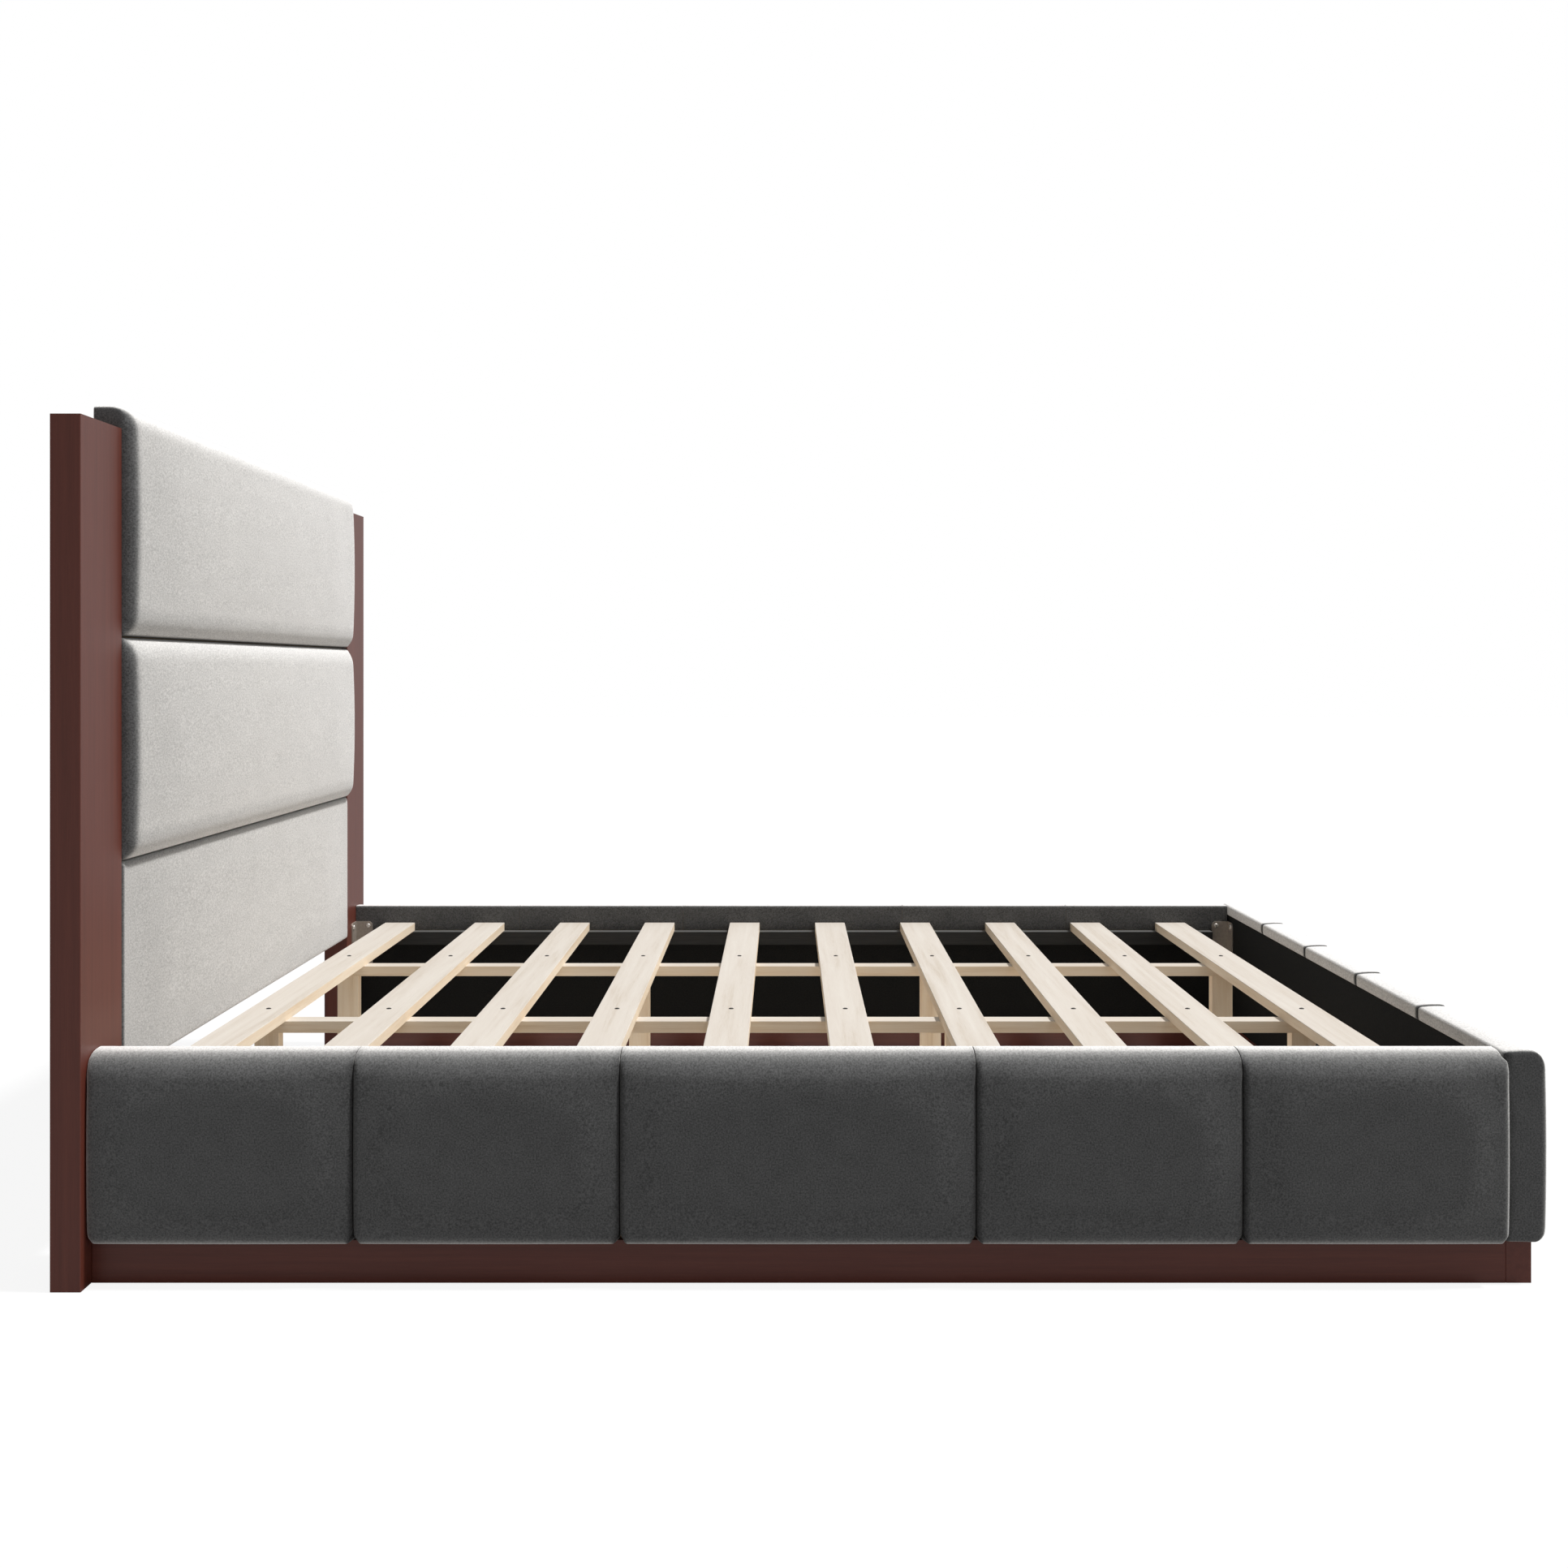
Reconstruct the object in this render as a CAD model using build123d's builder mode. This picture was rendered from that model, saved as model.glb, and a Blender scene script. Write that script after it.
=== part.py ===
from build123d import *
import math
import os

os.makedirs("parts", exist_ok=True)

# Upholstered platform bed, in millimetres. +X runs from the headboard to the foot, +Z is up, and
# the origin is on the floor under the middle of the whole bed. Left and right are as seen by
# someone who stands at the foot and faces the headboard, so the left rail is on the -Y side.

# The mattress that the bed is built round
mattress_length = 2032.0
mattress_width = 1524.0
mattress_side_play = 3.0
mattress_end_play = 18.0

# Headboard posts: square-edged boards on end, rebated along the outer back edge
post_width = 156.0
post_depth = 53.0
post_rebate_width = 23.0
post_rebate_depth = 8.7

# Headboard panel between the posts: a cloth cover, a timber frame and a plywood face, from the back
panel_setback = 5.7
cover_thickness = 1.5
frame_thickness = 20.0
frame_member_width = 70.0
face_thickness = 12.0
panel_side_gap = 0.5

# Headboard cushions, stacked from the bottom up
headboard_clearance = 275.0
bottom_cushion_height = 326.0
middle_cushion_height = 343.0
top_cushion_height = 354.0
cushion_proud = 22.7
bottom_cushion_proud = 2.7
cushion_round_height = 41.0
cushion_top_round = 38.0
cushion_crown = 3.0
cushion_end_round = 18.0
bottom_cushion_round = 6.0
bottom_cushion_crown = 1.0
cushion_gap = 0.6
top_roll_height = 46.0
top_roll_back_round = 6.0
headboard_rise = 37.0

# Upholstered rails: foam pads wrapped over a board, with a flap down the inside
rail_setback = 11.0
rail_rise = 38.1
pad_depth = 40.0
foot_pad_depth = 37.0
board_thickness = 22.0
flap_thickness = 4.0
cap_thickness = 10.0
foot_flap_height = 21.0
pad_top_round = 26.0
foot_pad_top_round = 20.0
pad_bottom_round = 12.0
pad_inner_round = 5.0
pad_bow = 3.0
pad_draw_in = 10.0
pad_top_draw_in = 3.0
pad_gap = 0.8
pad_plinth_gap = 0.6
middle_pad_length = 516.0
side_pad_lap = 5.7
foot_middle_pad_length = 312.0
foot_pad_length = 311.0
foot_pad_draw_in = 13.0
foot_end_share = 0.25
foot_end_wrap = 6.0
foot_end_setback = 19.0
pad_count = 5

# Black cloth lining below the flaps
lining_thickness = 1.0

# Plinth boards that stand on the floor under the rails
plinth_height = 62.5
plinth_thickness = 37.5
foot_plinth_inset = 8.0

# Slat deck: ledges on the side rails, two middle beams on legs, and the slats
deck_height = 280.6
cleat_width = 29.0
cleat_height = 30.0
cleat_end_gap = 4.0
slat_count = 10
slat_width = 70.0
slat_thickness = 18.3
slat_end_gap = 2.0
first_slat_offset = 104.7
first_slat_pitch = 211.0
last_slat_offset = 135.4
slat_edge_round = 1.2
beam_width = 40.0
beam_height = 20.0
beam_spacing = 566.0
beam_overhang = 19.0
leg_length = 42.0
leg_width = 28.0
leg_count = 4

# Steel corner brackets and their bolts
bracket_rise = 3.1
bracket_height = 120.0
bracket_wing = 40.0
bracket_thickness = 2.5
bracket_corner_round = 10.0
bolt_edge = 10.0
bolt_radius = 3.0
bolt_head_radius = 5.5
bolt_head_height = 3.6
bolt_head_round = 2.8
bolt_length = 27.0
bolt_play = 0.2

# Wood screws, countersunk, and the wooden dowels of the headboard frame
screw_radius = 2.0
screw_head_radius = 4.0
screw_rim = 0.3
slat_screw_length = 34.0
leg_screw_length = 60.0
plinth_screw_length = 90.0
leg_screw_spread = 12.0
plinth_screw_inset = 90.0
plinth_screw_recess = 1.0
plinth_screw_count = 4
screw_play = 0.1
dowel_radius = 4.0
dowel_length = 60.0
dowel_spacing = 36.0

# Clearance between a soft piece and the board inside it, the overrun of every cut, and how far
# the middle of a quarter round stands in from its square corner, as a share of its radius
fit_gap = 0.3
overrun = 5.0
post_edge_round = 0.8
quarter_round_share = 1 - math.sqrt(0.5)

# Places that follow from the sizes above
bay_width = mattress_width + 2 * mattress_side_play
half_bay = bay_width / 2
rail_thickness = pad_depth + board_thickness + flap_thickness
foot_thickness = foot_pad_depth + board_thickness + flap_thickness
rail_face_y = half_bay + rail_thickness
half_width = rail_face_y + rail_setback
rail_length = mattress_length + mattress_end_play + bottom_cushion_proud
bed_length = post_depth + rail_length + foot_thickness

post_back_x = -bed_length / 2
post_front_x = post_back_x + post_depth
foot_inner_x = post_front_x + rail_length
foot_face_x = foot_inner_x + foot_thickness
post_inner_y = half_width - post_width

deck_top = deck_height + slat_thickness
rail_top = deck_top + rail_rise
board_top = rail_top - cap_thickness
pad_bottom = plinth_height + pad_plinth_gap
side_flap_bottom = deck_height + fit_gap
foot_flap_bottom = rail_top - foot_flap_height
foot_board_inner_x = foot_inner_x + flap_thickness
foot_lining_x = foot_board_inner_x - lining_thickness
foot_half = rail_face_y - foot_end_setback

bottom_joint_z = headboard_clearance + bottom_cushion_height
middle_joint_z = bottom_joint_z + middle_cushion_height
headboard_top = middle_joint_z + top_cushion_height
post_height = headboard_top - headboard_rise
panel_back_x = post_back_x + panel_setback
frame_back_x = panel_back_x + cover_thickness
face_back_x = frame_back_x + frame_thickness
cushion_back_x = face_back_x + face_thickness
panel_half = post_inner_y - panel_side_gap
panel_top = headboard_top - top_roll_height

bracket_top = deck_top + bracket_rise
bracket_bottom = bracket_top - bracket_height
first_slat_x = post_front_x + first_slat_offset
second_slat_x = first_slat_x + first_slat_pitch
last_slat_x = foot_inner_x - last_slat_offset
slat_pitch = (last_slat_x - second_slat_x) / (slat_count - 2)
slat_places = [first_slat_x]
for number in range(slat_count - 1):
    slat_places.append(second_slat_x + number * slat_pitch)
beam_start_x = slat_places[0] - beam_overhang
beam_end_x = slat_places[-1] + beam_overhang
beam_bottom = deck_height - beam_height
beam_places = (-beam_spacing / 2, beam_spacing / 2)
first_leg_x = beam_start_x + leg_length / 2
last_leg_x = beam_end_x - leg_length / 2
leg_pitch = (last_leg_x - first_leg_x) / (leg_count - 1)
leg_places = [first_leg_x + number * leg_pitch for number in range(leg_count)]
leg_shift = (beam_width - leg_width) / 2
sides = {"left": -1, "right": 1}


# Wood screws: a countersunk head and a plain shank, standing below their own origin

def screw_shape(length, play, rise):
    """A countersunk screw, or the hole for one where play and a rise above its head are given."""
    shank = screw_radius + play
    head = screw_head_radius + play
    with BuildPart() as screw:
        with BuildSketch(Plane.XZ):
            with BuildLine():
                Polyline(
                    (0, rise),
                    (head, rise),
                    (head, -screw_rim),
                    (shank, shank - head - screw_rim),
                    (shank, -length - play),
                    (0, -length - play),
                    close=True,
                )
            make_face()
        revolve(axis=Axis.Z)
    return screw.part


# Headboard posts

def post_outline(side):
    """Section of a post, seen from above, with the rebate along its outer back edge."""
    outer = side * half_width
    inner = side * post_inner_y
    shoulder = side * (half_width - post_rebate_width)
    with BuildSketch() as section:
        with BuildLine():
            Polyline(
                (post_back_x, inner),
                (post_front_x, inner),
                (post_front_x, outer),
                (post_back_x + post_rebate_depth, outer),
                (post_back_x + post_rebate_depth, shoulder),
                (post_back_x, shoulder),
                close=True,
            )
        make_face()
    return section.sketch


# Bracket bolts: each bracket has two in its rail wing and two in its end wing

corners = {}
for side_name, side in sides.items():
    corners["head_" + side_name] = (post_front_x, side, 1)
    corners["foot_" + side_name] = (foot_lining_x, side, -1)

bolt_levels = (bracket_top - bolt_edge, bracket_bottom + bolt_edge)
bolt_planes = []
for corner_x, side, inward in corners.values():
    rail_bolt_x = corner_x + inward * (bracket_wing - bolt_edge)
    end_bolt_y = side * (half_bay - bracket_wing + bolt_edge)
    for level in bolt_levels:
        rail_seat = (rail_bolt_x, side * (half_bay - bracket_thickness), level)
        bolt_planes.append(Plane(rail_seat, x_dir=(0, 0, 1), z_dir=(0, -side, 0)))
        end_seat = (corner_x + inward * bracket_thickness, end_bolt_y, level)
        bolt_planes.append(Plane(end_seat, x_dir=(0, 0, 1), z_dir=(inward, 0, 0)))

with BuildPart() as bolt:
    with BuildSketch():
        Circle(bolt_radius)
    extrude(amount=-bolt_length)
    with BuildSketch():
        Circle(bolt_head_radius)
    extrude(amount=bolt_head_height)
    fillet(bolt.edges().sort_by(Axis.Z)[-1], radius=bolt_head_round)

with BuildPart() as bolt_hole:
    with BuildSketch(Plane.XY.offset(overrun)):
        Circle(bolt_radius + bolt_play)
    extrude(amount=-(bolt_length + 2 * overrun))

with BuildPart() as bracket_bolts:
    with Locations(*bolt_planes):
        add(bolt.part)
bracket_bolts.part.label = "bracket_bolts"
export_step(bracket_bolts.part, "parts/bracket_bolts.step")

with BuildPart() as bolt_holes:
    with Locations(*bolt_planes):
        add(bolt_hole.part)


# Headboard dowels: two in each end of the frame's top and bottom rails

frame_mid_x = frame_back_x + frame_thickness / 2
bottom_rail_z = headboard_clearance + frame_member_width / 2
top_rail_z = panel_top - frame_member_width / 2
dowel_levels = []
for rail_z in (bottom_rail_z, top_rail_z):
    dowel_levels.append(rail_z - dowel_spacing / 2)
    dowel_levels.append(rail_z + dowel_spacing / 2)
dowel_places = [
    (frame_mid_x, side * post_inner_y, level) for side in sides.values() for level in dowel_levels
]

with BuildPart() as headboard_dowels:
    with Locations(*dowel_places):
        Cylinder(dowel_radius, dowel_length, rotation=(90, 0, 0))
headboard_dowels.part.label = "headboard_dowels"
export_step(headboard_dowels.part, "parts/headboard_dowels.step")

with BuildPart() as dowel_holes:
    with Locations(*dowel_places):
        Cylinder(dowel_radius + screw_play, dowel_length + overrun, rotation=(90, 0, 0))

for side_name, side in sides.items():
    with BuildPart() as post:
        add(post_outline(side))
        extrude(amount=post_height)
        chamfer(post.edges().filter_by(Axis.Z), length=post_edge_round)
        add(bolt_holes.part, mode=Mode.SUBTRACT)
        add(dowel_holes.part, mode=Mode.SUBTRACT)
    post.part.label = "headboard_post_" + side_name
    export_step(post.part, "parts/headboard_post_" + side_name + ".step")


# Headboard frame, face board and back cover

def upright_board(name, x_start, thickness, y_low, y_high, z_low, z_high, holes=None):
    """A flat board across the bed, from x_start forward, drilled where holes are given."""
    corner = Plane((x_start, y_low, z_low), x_dir=(0, 1, 0), z_dir=(1, 0, 0))
    with BuildPart() as board:
        with BuildSketch(corner):
            Rectangle(y_high - y_low, z_high - z_low, align=(Align.MIN, Align.MIN))
        extrude(amount=thickness)
        if holes is not None:
            add(holes, mode=Mode.SUBTRACT)
    board.part.label = name
    export_step(board.part, "parts/" + name + ".step")


frame_low = headboard_clearance + frame_member_width
frame_high = panel_top - frame_member_width
stile_inner = panel_half - frame_member_width
upright_board(
    "headboard_bottom_rail", frame_back_x, frame_thickness, -panel_half, panel_half,
    headboard_clearance, frame_low, dowel_holes.part,
)
upright_board(
    "headboard_top_rail", frame_back_x, frame_thickness, -panel_half, panel_half,
    frame_high, panel_top, dowel_holes.part,
)
upright_board(
    "headboard_stile_left", frame_back_x, frame_thickness, -panel_half, -stile_inner,
    frame_low, frame_high,
)
upright_board(
    "headboard_stile_right", frame_back_x, frame_thickness, stile_inner, panel_half,
    frame_low, frame_high,
)
upright_board(
    "headboard_face_board", face_back_x, face_thickness, -panel_half, panel_half,
    headboard_clearance, panel_top,
)
upright_board(
    "headboard_back_cover", panel_back_x, cover_thickness, -panel_half, panel_half,
    headboard_clearance, panel_top,
)


# Headboard cushions: lofted along the bed's width, fuller in the middle than at the ends

def headboard_plane(y):
    """Section plane across the headboard: local x is forward, local y is up."""
    return Plane((0, y, 0), x_dir=(1, 0, 0), z_dir=(0, -1, 0))


def middle_cushion_outline(y, z_low, z_high, drawn):
    """Section of the middle cushion, which stands proud of the posts between its rounded edges."""
    front_x = post_front_x + cushion_proud - drawn
    edge_x = front_x - cushion_crown
    low_edge_z = z_low + cushion_round_height
    high_edge_z = z_high - cushion_round_height
    with BuildSketch(headboard_plane(y)) as section:
        with BuildLine():
            Line((cushion_back_x, z_low), (post_front_x, z_low))
            TangentArc((edge_x, low_edge_z), (post_front_x, z_low), tangent=(0, -1))
            ThreePointArc(
                (edge_x, low_edge_z), (front_x, (z_low + z_high) / 2), (edge_x, high_edge_z)
            )
            TangentArc((edge_x, high_edge_z), (post_front_x, z_high), tangent=(0, 1))
            Line((post_front_x, z_high), (cushion_back_x, z_high))
            Line((cushion_back_x, z_high), (cushion_back_x, z_low))
        make_face()
    return section.sketch


def bottom_cushion_outline(y, z_low, z_high, drawn):
    """Section of the thin bottom cushion, almost flush with the posts."""
    front_x = post_front_x + bottom_cushion_proud - drawn
    turn = bottom_cushion_round
    bend = turn * quarter_round_share
    with BuildSketch(headboard_plane(y)) as section:
        with BuildLine():
            Line((cushion_back_x, z_low), (front_x - turn, z_low))
            ThreePointArc(
                (front_x - turn, z_low), (front_x - bend, z_low + bend), (front_x, z_low + turn)
            )
            Line((front_x, z_low + turn), (front_x, z_high - turn))
            ThreePointArc(
                (front_x, z_high - turn), (front_x - bend, z_high - bend), (front_x - turn, z_high)
            )
            Line((front_x - turn, z_high), (cushion_back_x, z_high))
            Line((cushion_back_x, z_high), (cushion_back_x, z_low))
        make_face()
    return section.sketch


def top_cushion_outline(y, z_low, z_high, drawn):
    """Section of the top cushion, which rolls back over the frame."""
    front_x = post_front_x + cushion_proud - drawn
    edge_x = front_x - cushion_crown
    middle_z = (z_low + z_high) / 2
    turn = cushion_top_round
    bend = turn * quarter_round_share
    back_turn = top_roll_back_round
    back_bend = back_turn * quarter_round_share
    with BuildSketch(headboard_plane(y)) as section:
        with BuildLine():
            Line((cushion_back_x, z_low), (post_front_x, z_low))
            TangentArc((edge_x, z_low + cushion_round_height), (post_front_x, z_low), tangent=(0, -1))
            ThreePointArc(
                (edge_x, z_low + cushion_round_height), (front_x, middle_z), (edge_x, z_high - turn)
            )
            ThreePointArc(
                (edge_x, z_high - turn), (edge_x - bend, z_high - bend), (edge_x - turn, z_high)
            )
            Line((edge_x - turn, z_high), (panel_back_x + back_turn, z_high))
            ThreePointArc(
                (panel_back_x + back_turn, z_high),
                (panel_back_x + back_bend, z_high - back_bend),
                (panel_back_x, z_high - back_turn),
            )
            Line((panel_back_x, z_high - back_turn), (panel_back_x, panel_top))
            Line((panel_back_x, panel_top), (cushion_back_x, panel_top))
            Line((cushion_back_x, panel_top), (cushion_back_x, z_low))
        make_face()
    return section.sketch


def make_cushion(name, sections, z_low, z_high, front_x, end_round):
    """Loft a cushion through its sections, then round its two front corners as seen from above."""
    bend = end_round * quarter_round_share
    back_x = panel_back_x - overrun
    with BuildPart() as cushion:
        loft(sections)
        with BuildSketch(Plane.XY.offset(z_low - overrun)):
            with BuildLine():
                Line((back_x, -panel_half), (front_x - end_round, -panel_half))
                ThreePointArc(
                    (front_x - end_round, -panel_half),
                    (front_x - bend, -panel_half + bend),
                    (front_x, -panel_half + end_round),
                )
                Line((front_x, -panel_half + end_round), (front_x, panel_half - end_round))
                ThreePointArc(
                    (front_x, panel_half - end_round),
                    (front_x - bend, panel_half - bend),
                    (front_x - end_round, panel_half),
                )
                Line((front_x - end_round, panel_half), (back_x, panel_half))
                Line((back_x, panel_half), (back_x, -panel_half))
            make_face()
        extrude(amount=z_high - z_low + 2 * overrun, mode=Mode.INTERSECT)
    cushion.part.label = name
    export_step(cushion.part, "parts/" + name + ".step")


# Each cushion has three sections: one at each end, drawn in, and a full one in the middle
cushion_stations = (-panel_half, 0, panel_half)
drawn_shares = (1, 0, 1)
cushion_front_x = post_front_x + cushion_proud
bottom_front_x = post_front_x + bottom_cushion_proud
middle_low = bottom_joint_z + cushion_gap / 2
middle_high = middle_joint_z - cushion_gap / 2
top_low = middle_joint_z + cushion_gap / 2
bottom_high = bottom_joint_z - cushion_gap / 2
middle_sections = []
top_sections = []
bottom_sections = []
for y, share in zip(cushion_stations, drawn_shares):
    drawn = cushion_crown * share
    middle_sections.append(middle_cushion_outline(y, middle_low, middle_high, drawn))
    top_sections.append(top_cushion_outline(y, top_low, headboard_top - drawn, drawn))
    bottom_drawn = bottom_cushion_crown * share
    bottom_sections.append(
        bottom_cushion_outline(y, headboard_clearance, bottom_high, bottom_drawn)
    )
make_cushion(
    "headboard_cushion_middle", middle_sections, middle_low, middle_high, cushion_front_x,
    cushion_end_round,
)
make_cushion(
    "headboard_cushion_top", top_sections, top_low, headboard_top, cushion_front_x,
    cushion_end_round,
)
make_cushion(
    "headboard_cushion_bottom", bottom_sections, headboard_clearance, bottom_high,
    bottom_front_x, bottom_cushion_round,
)


# Upholstered rails: each has its pads, a board inside them and a black lining below their flaps

class Rail:
    """An upholstered rail, from the place where its outer face starts."""

    def __init__(
        self, start, along, inward, foam, flap_bottom, top_round, pad_lengths, pad_lap, draw_in,
        end_share, end_wrap,
    ):
        self.start = Vector(*start)
        self.along = Vector(*along)
        self.inward = Vector(*inward)
        self.foam = foam
        self.thickness = foam + board_thickness + flap_thickness
        self.flap_bottom = flap_bottom
        self.top_round = top_round
        self.pad_lengths = pad_lengths
        self.pad_lap = pad_lap
        self.length = sum(pad_lengths) - pad_lap
        self.draw_in = draw_in
        self.end_share = end_share
        self.end_wrap = end_wrap

    def section_plane(self, distance):
        """Plane across the rail: local x is inward from its outer face, local y is up."""
        origin = self.start + self.along * distance
        return Plane(origin, x_dir=self.inward, z_dir=self.inward.cross(Vector(0, 0, 1)))


def pad_outline(rail, distance, share):
    """Section of a pad: a bowed face with rounded edges, drawn in by a share at the pad's ends."""
    face = rail.draw_in * share
    top = rail_top - pad_top_draw_in * share
    bottom = pad_bottom + pad_top_draw_in * share
    edge = face + pad_bow
    inner = rail.thickness
    top_bend = rail.top_round * quarter_round_share
    bottom_bend = pad_bottom_round * quarter_round_share
    inner_bend = pad_inner_round * quarter_round_share
    with BuildSketch(rail.section_plane(distance)) as section:
        with BuildLine():
            Line((inner, bottom), (edge + pad_bottom_round, bottom))
            ThreePointArc(
                (edge + pad_bottom_round, bottom),
                (edge + bottom_bend, bottom + bottom_bend),
                (edge, bottom + pad_bottom_round),
            )
            ThreePointArc(
                (edge, bottom + pad_bottom_round),
                (face, (bottom + top) / 2),
                (edge, top - rail.top_round),
            )
            ThreePointArc(
                (edge, top - rail.top_round),
                (edge + top_bend, top - top_bend),
                (edge + rail.top_round, top),
            )
            Line((edge + rail.top_round, top), (inner - pad_inner_round, top))
            ThreePointArc(
                (inner - pad_inner_round, top),
                (inner - inner_bend, top - inner_bend),
                (inner, top - pad_inner_round),
            )
            Line((inner, top - pad_inner_round), (inner, bottom))
        make_face()
    return section.sketch


def board_space(rail, distance):
    """Section of the space inside a pad for its board and lining, open at the bottom."""
    far = rail.foam + board_thickness + fit_gap
    past = rail.thickness + overrun
    low = plinth_height - overrun
    high = board_top + fit_gap
    with BuildSketch(rail.section_plane(distance)) as section:
        with BuildLine():
            Polyline(
                (rail.foam, low),
                (rail.foam, high),
                (far, high),
                (far, rail.flap_bottom),
                (past, rail.flap_bottom),
                (past, low),
                close=True,
            )
        make_face()
    return section.sketch


# The last pad of each side rail laps over the end of the foot rail, outside this space
with BuildPart() as foot_space:
    with BuildSketch(Plane((foot_inner_x - pad_gap / 2, 0, 0))):
        Rectangle(
            side_pad_lap + overrun, 2 * (foot_half + fit_gap), align=(Align.MIN, Align.CENTER)
        )
    extrude(amount=rail_top + overrun)


def make_pad(name, rail, start, length):
    """Loft a pad through its two drawn-in ends and its full middle, and fit it over the board."""
    near_share = rail.end_share if start < pad_gap else 1
    far_share = rail.end_share if start + length > rail.length - pad_gap else 1
    stations = ((start, near_share), (start + length / 2, 0), (start + length, far_share))
    sections = [pad_outline(rail, distance, share) for distance, share in stations]
    with BuildPart() as pad:
        loft(sections)
        add(board_space(rail, rail.end_wrap))
        space_length = rail.length + rail.pad_lap - 2 * rail.end_wrap
        extrude(amount=space_length, dir=rail.along, mode=Mode.SUBTRACT)
        if rail.pad_lap > 0:
            add(foot_space.part, mode=Mode.SUBTRACT)
        add(bolt_holes.part, mode=Mode.SUBTRACT)
    pad.part.label = name
    export_step(pad.part, "parts/" + name + ".step")


def make_layer(name, rail, depth, thickness, low, high, start, length):
    """A flat board or sheet inside a rail, at a depth from its outer face."""
    with BuildPart() as layer:
        with BuildSketch(rail.section_plane(start)):
            with Locations((depth, low)):
                Rectangle(thickness, high - low, align=(Align.MIN, Align.MIN))
        extrude(amount=length, dir=rail.along)
        add(rail_holes.part, mode=Mode.SUBTRACT)
    layer.part.label = name
    export_step(layer.part, "parts/" + name + ".step")


side_pad_length = (rail_length + side_pad_lap - middle_pad_length) / (pad_count - 1)
side_pads = [side_pad_length] * pad_count
side_pads[pad_count // 2] = middle_pad_length
foot_end_pad_length = foot_half - foot_middle_pad_length / 2 - foot_pad_length
foot_pads = [foot_end_pad_length, foot_pad_length, foot_middle_pad_length, foot_pad_length]
foot_pads.append(foot_end_pad_length)

rails = {
    "left": Rail(
        (post_front_x, -rail_face_y, 0), (1, 0, 0), (0, 1, 0), pad_depth, side_flap_bottom,
        pad_top_round, side_pads, side_pad_lap, pad_draw_in, 1, -overrun,
    ),
    "right": Rail(
        (post_front_x, rail_face_y, 0), (1, 0, 0), (0, -1, 0), pad_depth, side_flap_bottom,
        pad_top_round, side_pads, side_pad_lap, pad_draw_in, 1, -overrun,
    ),
    "foot": Rail(
        (foot_face_x, -foot_half, 0), (0, 1, 0), (-1, 0, 0), foot_pad_depth, foot_flap_bottom,
        foot_pad_top_round, foot_pads, 0, foot_pad_draw_in, foot_end_share, foot_end_wrap,
    ),
}

# Plinth screws, driven up from below through the plinths into the middle of the rail boards

plinth_screw_planes = []
for rail in rails.values():
    board_middle = rail.foam + board_thickness / 2
    screw_pitch = (rail.length - 2 * plinth_screw_inset) / (plinth_screw_count - 1)
    for number in range(plinth_screw_count):
        distance = plinth_screw_inset + number * screw_pitch
        place = rail.start + rail.along * distance + rail.inward * board_middle
        head_place = (place.X, place.Y, plinth_screw_recess)
        plinth_screw_planes.append(Plane(head_place, x_dir=(1, 0, 0), z_dir=(0, 0, -1)))

plinth_screw = screw_shape(plinth_screw_length, 0, 0)
plinth_screw_hole = screw_shape(plinth_screw_length, screw_play, overrun)

with BuildPart() as plinth_screws:
    with Locations(*plinth_screw_planes):
        add(plinth_screw)
plinth_screws.part.label = "plinth_screws"
export_step(plinth_screws.part, "parts/plinth_screws.step")

with BuildPart() as rail_holes:
    add(bolt_holes.part)
    with Locations(*plinth_screw_planes):
        add(plinth_screw_hole)


# Boards, linings and pads of the three rails

for rail_name, rail in rails.items():
    board_start = max(rail.end_wrap, 0) + fit_gap
    board_length = rail.length - 2 * board_start
    lining_depth = rail.foam + board_thickness
    lining_top = rail.flap_bottom - fit_gap
    make_layer(
        rail_name + "_rail_board", rail, rail.foam, board_thickness, plinth_height, board_top,
        board_start, board_length,
    )
    make_layer(
        rail_name + "_rail_lining", rail, lining_depth, lining_thickness, plinth_height,
        lining_top, board_start, board_length,
    )
    reach = 0
    for number, length in enumerate(rail.pad_lengths, start=1):
        pad_name = rail_name + "_rail_pad_" + str(number)
        make_pad(pad_name, rail, reach + pad_gap / 2, length - pad_gap)
        reach += length


# Slat ledges along the side rails, between the corner brackets

cleat_start = bracket_wing + cleat_end_gap
cleat_length = foot_lining_x - post_front_x - 2 * cleat_start
for side_name in sides:
    rail = rails[side_name]
    cleat_depth = rail.foam + board_thickness + lining_thickness
    make_layer(
        side_name + "_rail_cleat", rail, cleat_depth, cleat_width, deck_height - cleat_height,
        deck_height, cleat_start, cleat_length,
    )


# Plinth boards, flush with the inside of the rails

def make_plinth(name, x_low, x_high, y_low, y_high):
    """A solid board on the floor, with its corners eased and drilled for the screws."""
    with BuildPart() as plinth:
        with BuildSketch(Plane((x_low, y_low, 0))):
            Rectangle(x_high - x_low, y_high - y_low, align=(Align.MIN, Align.MIN))
        extrude(amount=plinth_height)
        chamfer(plinth.edges().filter_by(Axis.Z), length=post_edge_round)
        add(rail_holes.part, mode=Mode.SUBTRACT)
    plinth.part.label = name
    export_step(plinth.part, "parts/" + name + ".step")


plinth_outer_y = half_bay + plinth_thickness
foot_plinth_x = foot_inner_x + foot_plinth_inset
make_plinth("left_plinth_board", post_front_x, foot_plinth_x, -plinth_outer_y, -half_bay)
make_plinth("right_plinth_board", post_front_x, foot_plinth_x, half_bay, plinth_outer_y)
make_plinth(
    "foot_plinth_board", foot_plinth_x, foot_plinth_x + plinth_thickness, -plinth_outer_y,
    plinth_outer_y,
)


# Steel corner brackets: two wings bent at a right angle, with rounded corners

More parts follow.
